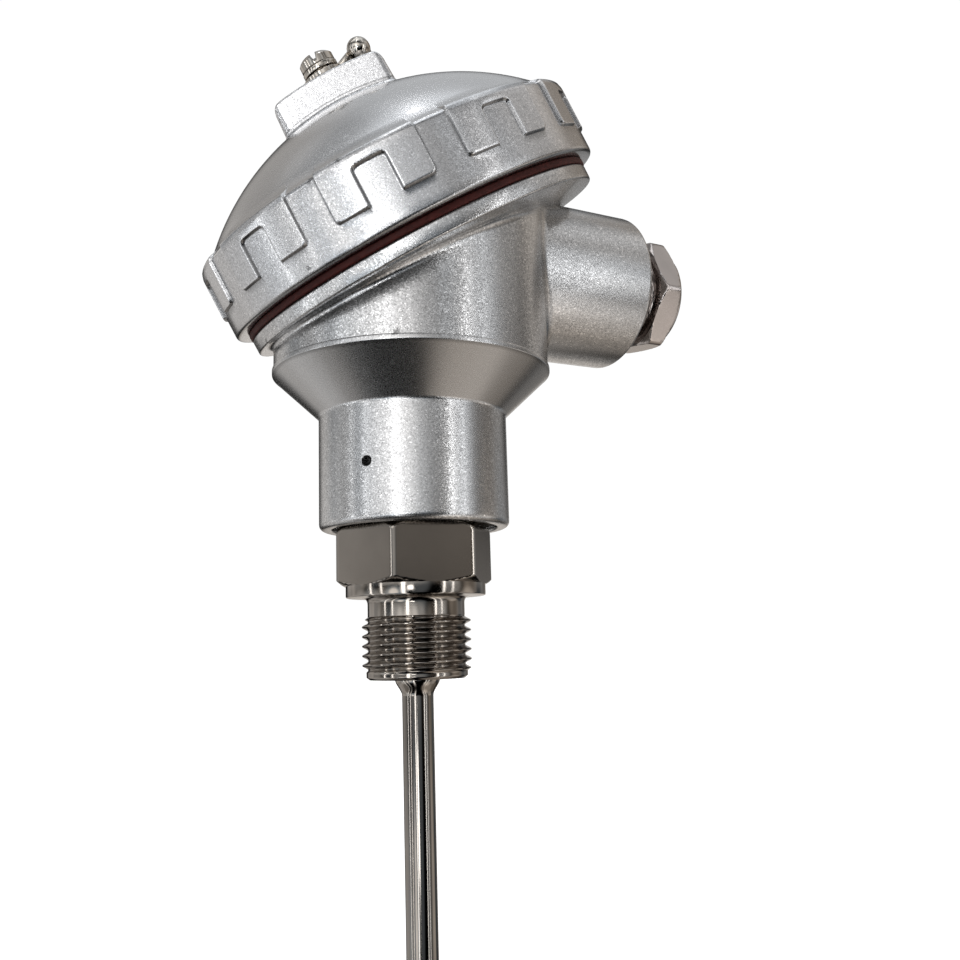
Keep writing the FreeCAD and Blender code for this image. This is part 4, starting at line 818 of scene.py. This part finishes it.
def makeFitting():
    f = fitting
    bore, low, collar = f["bore"], -f["length"], f["collar"]
    # the weld's side runs from its own radius to the sheath's as 1 - (3t^2 - 2t^3) of the way down
    down = np.linspace(0, 1, 12)
    side = 3.02 + (f["weldRadius"] - 3.02) * (1 - smoothStep(down, 0, 1))
    weld = np.stack([side, low - 0.1 - 3.0 * down], 1)[::-1]
    front = np.concatenate([weld, [[f["weldRadius"], low], [9.0, low]]])
    radius, h, angle = threadedGrid(low, -f["relief"], f["crest"], f["root"], f["pitch"], f["turns"],
                                    f["perPitch"], 1.3, 0.9)
    # the lowest turn is cut away to a plain nose
    plain = 1 - smoothStep(h, f["noseTop"] - 0.4, f["noseTop"] + 0.4)
    nose = f["nose"] - 0.5 * (1 - smoothStep(h, low, low + 0.5))
    radius = radius * (1 - plain) + nose * plain
    # relief, the fillet under the collar, and the collar
    back = [(9.35, -3.5), (9.35, -1.3), (9.38, -0.95), (9.5, -0.6), (9.72, -0.3), (10.0, -0.12),
            (10.4, -0.02), (10.8, 0), (collar - 0.3, 0), (collar - 0.08, 0.09), (collar, 0.3),
            (collar, 2.4), (12.5, 2.6), (bore, 2.6)]
    start, end = f["hexBottom"], f["hexTop"]
    levels = np.concatenate([[start] * 2, np.linspace(start, 3.4, 8), np.linspace(3.4, 11.3, 6)[1:-1],
                             np.linspace(11.3, end, 11), [end] * 2])
    upper = np.interp(levels, [12.2, 13.2, end], [15.5, 14.9, 13.8])
    cone = np.minimum(13.7 + (levels - start) * 1.75, upper)
    neck = threadedGrid(15.6, f["neckTop"], 12.0, 10.95, 1.5, 128, 8, 1.0, 1.0)
    shell = Shell()
    shell.add(threadBetween(front, (radius, h, angle), back))
    shell.add(hexagonPrism(f["hexFlats"], f["hexCorner"], f["hexTurn"], 18, levels, cone, bore))
    return shell.add(threadBetween([(bore, end - 0.1)], neck, [(bore, f["neckTop"])]))


def makeSheath():
    # tube with a closed end, whose edge is a quarter arc
    turn, arc, tip = np.linspace(0, np.pi / 2, 8), sheath["round"], sheath["bottom"]
    edge = np.stack([sheath["radius"] - arc + arc * np.sin(turn), tip + arc - arc * np.cos(turn)], 1)
    side = np.stack([np.full(40, sheath["radius"]), np.linspace(tip + 1, sheath["top"], 40)], 1)
    inner = [[sheath["inner"], sheath["top"]], [sheath["inner"], tip + 1.2], [0.0, tip + 1.2]]
    return Shell().add(lathe(np.concatenate([[[0.0, tip]], edge, side, inner]), 96))


addPiece("process_fitting_turned", makeFitting(), stainless, "head", "process_fitting")
addPiece("probe_sheath_tube", makeSheath(), sheathSteel, "head", "probe_sheath")
print("fitting made")

# gland screw: hexagon with turned bevels on both faces, a rolled nose and a fine thread
gland = {"flats": 23.0, "corner": 13.05, "turn": 6.5, "inner": 55.1, "outer": 60.3, "bevel": 0.9,
         "bevelRadius": 11.7, "nose": 61.9, "noseRadius": 10.9, "bore": 6.5, "shank": 43.66, "crest": 10.0,
         "root": 9.1, "pitch": 1.5}


def makeGlandNut():
    g = gland
    low, high, bevel, bore = g["inner"], g["outer"], g["bevel"], g["bore"]
    levels = np.concatenate([[low] * 2, np.linspace(0, bevel, 6) + low,
                             np.linspace(low + bevel, high - bevel, 5)[1:-1],
                             np.linspace(-bevel, 0, 6) + high, [high] * 2])
    cone = g["bevelRadius"] + np.minimum(levels - low, high - levels) * 1.6
    thread = threadedGrid(g["shank"], low + 0.2, g["crest"], g["root"], g["pitch"], 144, 12, 0.9, 0.9)
    nose = roundedLoop([(bore, high - 0.3), (g["noseRadius"], high - 0.3), (g["noseRadius"], g["nose"], 1.1),
                        (bore, g["nose"], 0.5)])
    shell = Shell()
    hexagon = hexagonPrism(g["flats"], g["corner"], 180 + g["turn"], 16, levels, cone, bore)
    for grid in (hexagon, threadBetween([(bore, g["shank"])], thread, [(bore, low + 0.2)]), lathe(nose, 144)):
        shell.add(grid, frameOf=bossFrame)
    return shell


addPiece("gland_screw_hexagon", makeGlandNut(), platedNut, "gland_screw", "gland_nut")
print("gland made")

# small metal: screws, eyelets, split spring washer and the ball chain
small = {"screwRadius": 2.0, "headRadius": 3.6, "headHeight": 2.7, "slotWidth": 0.9, "slotDepth": 1.1,
         "ball": 2.4, "ballPitch": 6.3, "pin": 0.6, "eyelet": 4.3, "eyeletThick": 0.9, "tabHalf": 1.7,
         "washerHeight": 1.4, "washerGap": 0.42, "capEdge": 43.25}
turnedCap = (turnAxes(capStop) @ capFrame[0], capFrame[1])


def liftFrame(frameOf, height):
    return frameOf[0], frameOf[1] + frameOf[0][2] * height


def makeScrew(frameOf, length):
    # pan head: low side and a crowned top; a cross is pressed in where |x| or |y| is under half a slot
    across = np.linspace(-1, 1, 49)
    u, v = np.meshgrid(across, across, indexing="ij")
    # square grid to disc: each point is pushed out to the circle along its own ray
    norm = np.hypot(u, v)
    scale = np.maximum(np.abs(u), np.abs(v)) / np.where(norm > 0, norm, 1) * small["headRadius"]
    x, y = u * scale, v * scale
    r = np.hypot(x, y) / small["headRadius"]
    crown = small["headHeight"] - 0.9 * r ** 4 - 0.35 * r ** 2
    half, soft = small["slotWidth"] / 2, 0.16
    pressed = 1 - smoothStep(np.minimum(np.abs(x), np.abs(y)), half - soft, half + soft)
    top = np.stack([x, y, crown - small["slotDepth"] * pressed], -1)
    edge = np.concatenate([top[:-1, 0], top[-1, :-1], top[:0:-1, -1], top[0, :0:-1]])
    side = [edge, edge * [1, 1, 0] + [0, 0, 0.12], edge * [0.97, 0.97, 0], edge * [0.001, 0.001, 0]]
    radius = small["screwRadius"]
    shank = roundedLoop([(0.001, -length), (radius, -length, 0.3), (radius, 0.1), (0.001, 0.1)])
    shell = Shell()
    shell.add(top, False, False, frameOf)
    shell.add(np.stack(side), False, True, frameOf)
    return shell.add(lathe(shank, 40), frameOf=frameOf)


def makeEyelet(frameOf, reach, bend):
    # stamped plate: the outline's radius is the larger of the disc's and the tab's, round a hole;
    # the tab rises by the bend from the disc's edge to its end
    half, disc, thick = small["tabHalf"], small["eyelet"], small["eyeletThick"]
    angle = np.linspace(-np.pi, np.pi, 128, endpoint=False)
    c, s = np.cos(angle), np.sin(angle)
    side = np.where(np.abs(s) > 1e-6, half / np.maximum(np.abs(s), 1e-6), 1e9)
    end = (reach - half) * c + np.sqrt(np.maximum(half ** 2 - ((reach - half) * s) ** 2, 0))
    onEnd = (c > 0) & (np.abs((reach - half) * s) <= half)
    tab = np.where(onEnd, np.minimum(side, np.where(end > 0, end, 0)), 0)
    tab = np.where((c > 0) & (side * c < reach - half), side, tab)
    outline = np.maximum(disc, np.minimum(tab, reach))
    hole, rim, inset = np.full_like(outline, 2.08), np.full_like(outline, 2.2), outline - 0.1
    loops = [(hole, 0.1), (rim, 0), (inset, 0), (outline, 0.1), (outline, thick - 0.1), (inset, thick),
             (rim, thick), (hole, thick - 0.1)]
    rows = [np.stack([r * c, r * s, h + bend * smoothStep(r * c, disc - 0.2, reach)], 1) for r, h in loops]
    return Shell().add(np.stack(rows), frameOf=frameOf)


def makeSpringWasher(frameOf):
    # split ring: a square section carried round 352 degrees while it climbs by the gap's offset
    angle = np.linspace(np.radians(4), np.radians(356), 96)[:, None]
    thick = small["washerHeight"] - small["washerGap"] - 0.02
    section = roundedLoop([(2.06, 0.0, 0.08), (3.7, 0.0, 0.12), (3.7, thick, 0.12), (2.06, thick, 0.08)], 3)
    climb = small["washerGap"] * angle / (2 * np.pi)
    grid = ringPoints(section[None, :, 0], section[None, :, 1] + climb, angle)
    return Shell().add(grid, False, True, frameOf, capEnds=True)


def chainRoute():
    # the given points that the chain passes, as in the solids
    edge, blockTop, level, ball = small["capEdge"], block["top"], capFrame[1][2], small["ball"]
    along = np.array([np.cos(capStop), np.sin(capStop)])
    facing = np.array([np.sin(capStop), -np.cos(capStop)])

    def overCap(a, d, h):
        return np.array([*(a * along + d * facing), h]) @ capFrame[0] + capFrame[1]

    last = np.array([7.1 + ball, 0, 31.8]) @ lugFrame[0] + lugFrame[1]
    route = [overCap(6.3 + ball, 0, blockTop + ball), overCap(6.3 + ball, -6.5, blockTop + ball + 0.6)]
    for a, d, h in [(0.196, 0.291, 1.071), (0.157, 0.425, 0.993), (0.097, 0.536, 0.885),
                    (0.018, 0.661, 0.767), (-0.055, 0.807, 0.668), (-0.106, 0.943, 0.534),
                    (-0.129, 1.032, 0.362)]:
        route.append(overCap(a * edge, -d * edge, h * blockTop))
    for x, y, h in [(0.217, 1.014, 1.173), (0.208, 1.018, 1.008), (0.190, 1.005, 0.842),
                    (0.143, 0.945, 0.686), (0.051, 0.847, 0.614)]:
        route.append(np.array([x * edge, y * edge, h * level]))
    return np.array(route + [np.array([-0.6, last[1] + 1.2, last[2] - 4.8]), last])


def runLength(points):
    # distance along the points up to each of them
    return np.concatenate([[0], np.cumsum(np.linalg.norm(np.diff(points, axis=0), axis=1))])


def smoothRoute(points, count=4000):
    # natural cubic spline through the points, with chord lengths as its parameter: second derivatives from a
    # tridiagonal system, then the usual cubic on each span
    t = runLength(points)
    gap = np.diff(t)
    n = len(points)
    system, answer = np.eye(n), np.zeros((n, 3))
    for i in range(1, n - 1):
        system[i, i - 1:i + 2] = gap[i - 1], 2 * (gap[i - 1] + gap[i]), gap[i]
        answer[i] = 6 * ((points[i + 1] - points[i]) / gap[i] - (points[i] - points[i - 1]) / gap[i - 1])
    bend = np.linalg.solve(system, answer)
    at = np.linspace(0, t[-1], count)
    k = np.clip(np.searchsorted(t, at) - 1, 0, n - 2)
    a, b = ((t[k + 1] - at) / gap[k])[:, None], ((at - t[k]) / gap[k])[:, None]
    g = gap[k][:, None] ** 2 / 6
    return a * points[k] + b * points[k + 1] + ((a ** 3 - a) * bend[k] + (b ** 3 - b) * bend[k + 1]) * g


def frameAlong(direction, origin):
    # local z along the direction, and x square to it and to a slanted line that no link follows
    z = direction / np.linalg.norm(direction)
    x = np.cross(z, [0.3, 0.2, 0.93])
    x /= np.linalg.norm(x)
    return np.array([x, np.cross(z, x), z]), origin


def makeChain():
    # balls at equal distances along the route, and a pin from each to the next
    line = smoothRoute(chainRoute())
    travel = runLength(line)
    links = int(round(travel[-1] / small["ballPitch"]))
    spots = np.linspace(0, travel[-1], links + 1)
    centres = np.stack([np.interp(spots, travel, line[:, k]) for k in range(3)], 1)
    polar = np.linspace(0, np.pi, 17)[None, :]
    ball = ringPoints(small["ball"] * np.sin(polar), small["ball"] * np.cos(polar), fullTurn(28)[:, None])
    shell = Shell()
    for i, centre in enumerate(centres):
        shell.add(ball, True, False, frameAlong(centres[min(i + 1, links)] - centres[max(i - 1, 0)], centre))
        if i < links:
            step = centres[i + 1] - centre
            end = np.linalg.norm(step) - 1.5
            pin = np.array([[0.001, 1.5], [small["pin"], 1.5], [small["pin"], end], [0.001, end]])
            shell.add(lathe(pin, 12), frameOf=frameAlong(step, centre))
    print("chain: balls", links + 1, "length", round(float(travel[-1]), 1))
    return shell


eyeletAt = block["top"] + 0.3
washerAt = eyeletAt + small["eyeletThick"] + 0.3
headAt = washerAt + small["washerHeight"]
capScrew = makeScrew(liftFrame(turnedCap, headAt), 8.9)
capWasher = makeSpringWasher(liftFrame(turnedCap, washerAt))
capEyelet = makeEyelet(liftFrame(turnedCap, eyeletAt), 6.7, 1.6)
lugEyelet = makeEyelet(liftFrame(lugFrame, head["lugReach"] + 0.05), 6.8, 0)
lugScrew = makeScrew(liftFrame(lugFrame, head["lugReach"] + 1.0), 5.2)
addPiece("cap_chain_screw_turned", capScrew, nickel, "cap", "cap_chain_screw")
addPiece("cap_washer_split", capWasher, nickel, "cap", "cap_spring_washer")
addPiece("cap_eyelet_stamped", capEyelet, nickel, "cap_swivel", "cap_chain_eyelet")
addPiece("ball_chain", makeChain(), nickel, "cap_swivel", "retaining_chain", 60)
addPiece("housing_eyelet_stamped", lugEyelet, nickel, "head", "housing_chain_eyelet")
addPiece("housing_screw_turned", lugScrew, nickel, "head", "housing_chain_screw")
print("chain and screws made")

# the pieces inside keep their own solids, with a worked finish each
finishes = {"fitting_seal": fibre, "gland_seal": blackRubber, "gland_washer": stainless,
            "sensing_element": ceramic, "wire_insulator": ceramic, "lead_wires": wireSleeve,
            "terminal_block": ceramic}
finishes.update({"terminal_plate_%d" % k: brass for k in (1, 2, 3)})
finishes.update({"terminal_screw_%d" % k: brass for k in range(1, 7)})
finishes.update({"block_screw_%d" % k: nickel for k in (1, 2)})
for node, finish in finishes.items():
    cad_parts[node].data.materials.clear()
    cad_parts[node].data.materials.append(finish)
print("inner pieces finished")

# studio: a white surround for the eye, and for reflections a dim room with soft bright areas, narrow tall
# lights and small lamps, as round a photographer's table
studio = {"floorLevel": -100.3, "soften": 0.35, "surround": 1.02}
towardCamera = np.array([-0.477, -0.879, 0.0])
towardRight = np.array([0.879, -0.477, 0.0])
# turn to the right of the camera's side, rise, half width (degrees), brightness, warmth
softAreas = [
    (90, -60, 28, 0.44, 0.13), (180, -60, 28, 0.43, 0.08), (-130, -40, 22, 0.37, 0.01),
    (-95, -40, 22, 0.33, 0.05), (65, -40, 22, 0.68, 0.06), (95, -40, 22, 0.13, -0.00),
    (130, -40, 22, 0.24, 0.14), (-130, -22, 22, 0.32, 0.05), (-100, -22, 22, 0.40, -0.01),
    (-75, -22, 22, 0.56, -0.05), (-52, -22, 22, 0.25, 0.07), (-32, -22, 22, 0.66, -0.14),
    (100, -22, 22, 0.55, 0.06), (180, -22, 22, 0.27, 0.05), (-130, -4, 22, 0.36, 0.03),
    (-105, -4, 22, 0.38, 0.03), (9, -4, 22, 0.20, -0.12), (64, -4, 22, 0.39, -0.02),
    (84, -4, 22, 0.12, 0.10), (105, -4, 22, 0.28, 0.13), (130, -4, 22, 0.10, -0.15),
    (180, -4, 22, 0.38, 0.10), (-130, 14, 22, 0.31, 0.04), (-105, 14, 22, 0.15, -0.09),
    (-84, 14, 22, 0.36, 0.03), (-64, 14, 22, 0.17, -0.13), (-44, 14, 22, 0.86, -0.01),
    (-26, 14, 22, 0.75, 0.01), (-9, 14, 22, 1.06, 0.01), (9, 14, 22, 0.45, 0.03),
    (26, 14, 22, 0.16, -0.02), (44, 14, 22, 0.13, 0.16), (64, 14, 22, 0.37, -0.05),
    (130, 14, 22, 0.22, 0.05), (180, 14, 22, 0.40, 0.01), (-130, 36, 28, 0.39, 0.05),
    (55, 36, 28, 0.17, -0.01), (90, 36, 28, 0.40, 0.05), (130, 36, 28, 0.26, 0.15),
    (-90, 62, 28, 0.34, -0.02), (-30, 62, 28, 0.79, -0.04), (30, 62, 28, 0.41, -0.04),
    (90, 62, 28, 0.37, -0.03), (180, 62, 28, 0.56, -0.02), (0, 85, 28, 0.69, -0.04),
    (-33, -16, 10, 1.30, 0.11), (35, 20, 10, 0.42, -0.09), (150, -5, 18, 0.20, 0.05)]
# turn, half width, brightness, and its share at each rise
tallLights = [
    (-16.5, 4.2, 6.0, [(-45, 0.35), (-21, 0.60), (-4, 1.00), (12, 0.25), (30, 0.00), (56, 0.56)]),
    (-54, 2, 5.0, [(-45, 0.35), (-21, 0.60), (-4, 1.00), (12, 0.27), (30, 0.00), (56, 0.38)]),
    (-74.5, 2, 5.1, [(-45, 0.34), (-21, 0.59), (-4, 1.00), (12, 0.25), (30, 0.14), (56, 0.76)]),
    (50.5, 2, 6.1, [(-45, 0.29), (-21, 0.49), (-4, 1.00), (12, 0.91), (30, 0.05), (56, 0.29)]),
    (66.5, 1.8, 4.0, [(-45, 0.35), (-21, 0.60), (-4, 1.00), (12, 0.63), (30, 0.00), (56, 0.01)]),
]
# turn, rise, half width, half height, brightness
smallLamps = [(-118, 79.5, 1.7, 1.9, 9.0), (-5, -9, 5.0, 4.0, 6.5)]


def roomDirection(turn, rise):
    # turn to the right of the camera's side and rise above the horizon, in degrees, to a unit vector
    t, e = np.radians(turn), np.radians(rise)
    level = np.cos(t) * towardCamera + np.sin(t) * towardRight
    return np.cos(e) * level + np.sin(e) * np.array([0, 0, 1.0])


def sine(degrees):
    return np.sin(np.radians(degrees))


def facing(tree, source, turn, rise):
    # cosine of the angle between a reflection and a direction
    return vectorMath(tree, "DOT_PRODUCT", source, roomDirection(turn, rise))


def areaShare(tree, source, turn, rise, width):
    # 1 within about a third of the width round a direction, easing to 0 at the width
    edge, full = np.cos(np.radians(width)), np.cos(np.radians(width * studio["soften"]))
    return remap(tree, facing(tree, source, turn, rise), edge, full, 0, 1, "SMOOTHERSTEP")


def bandShare(tree, source, turn, rise, half, full, kind="LINEAR"):
    # 1 near the plane square to a direction, easing to 0 between a share of the half width and all of it
    aside = scalarMath(tree, "ABSOLUTE", facing(tree, source, turn, rise))
    return remap(tree, aside, sine(half), sine(half * full), 0, 1, kind)


def stripShare(tree, source, turn, width, profile):
    # an upright light: 1 on the plane at that turn, 0 beyond its half width, times its share at each rise
    across = bandShare(tree, source, turn + 90, 0, width, 0.5, "SMOOTHERSTEP")
    front = remap(tree, facing(tree, source, turn, 0), 0.0, 0.05, 0, 1)
    level = remap(tree, vectorMath(tree, "DOT_PRODUCT", source, (0, 0, 1)), -1, 1, 0, 1)
    stops = [(-66, 0.0), *profile, (74, 0.0)]
    share = greyRamp(tree, level, [((sine(rise) + 1) / 2, k) for rise, k in stops])
    return scalarMath(tree, "MULTIPLY", scalarMath(tree, "MULTIPLY", across, front), share)


def lampShare(tree, source, turn, rise, halfWidth, halfHeight):
    # a crisp-edged rectangle round a direction: both offsets from it stay under their halves, on its own side
    across = bandShare(tree, source, turn + 90, 0, halfWidth, 0.8)
    along = bandShare(tree, source, turn, rise + 90, halfHeight, 0.8)
    front = remap(tree, facing(tree, source, turn, rise), 0.0, 0.05, 0, 1)
    return scalarMath(tree, "MULTIPLY", scalarMath(tree, "MULTIPLY", across, along), front)


def makeWorld():
    # the sum of every light's share times its brightness, for reflections, and plain white for the camera
    world = bpy.data.worlds.new("studio")
    scene.world = world
    world.use_nodes = True
    tree = world.node_tree
    source = tree.nodes.new("ShaderNodeTexCoord").outputs["Generated"]
    shares = [(areaShare(tree, source, *area[:3]), *area[3:]) for area in softAreas]
    for turn, width, power, profile in tallLights:
        shares.append((stripShare(tree, source, turn, width, profile), power, 0))
    shares += [(lampShare(tree, source, *lamp[:4]), lamp[4], 0) for lamp in smallLamps]
    total = (0, 0, 0)
    for share, power, warmth in shares:
        tinted = addNode(tree, "ShaderNodeVectorMath", operation="SCALE")
        tinted.inputs[0].default_value = (power * (1 + warmth), power, power * (1 - warmth))
        tree.links.new(share, tinted.inputs["Scale"])
        total = vectorMath(tree, "ADD", tinted.outputs["Vector"], total)
    seen = tree.nodes.new("ShaderNodeLightPath")
    chosen = addNode(tree, "ShaderNodeMix", data_type="RGBA")
    chosen.inputs["B"].default_value = (studio["surround"],) * 3 + (1,)
    tree.links.new(total, chosen.inputs["A"])
    tree.links.new(seen.outputs["Is Camera Ray"], chosen.inputs["Factor"])
    tree.links.new(chosen.outputs["Result"], tree.nodes["Background"].inputs["Color"])


makeWorld()

# floor just under the probe's tip, which neither reflections nor bounced light see
corners = [(x, y, studio["floorLevel"] * mm) for x, y in ((-4, -4), (4, -4), (4, 4), (-4, 4))]
floorMesh = bpy.data.meshes.new("floor")
floorMesh.from_pydata(corners, [], [(0, 1, 2, 3)])
floor = bpy.data.objects.new("floor", floorMesh)
scene.collection.objects.link(floor)
floorMaterial, _, floorShader = newMaterial("paleFloor", 0, 0.8, (0.86, 0.86, 0.86))
floorShader.inputs["Emission Color"].default_value = (1, 1, 1, 1)
floorShader.inputs["Emission Strength"].default_value = 0.72
floorMesh.materials.append(floorMaterial)
floor.visible_glossy = False
floor.visible_diffuse = False
scene.view_settings.view_transform = "Standard"
print("studio made")
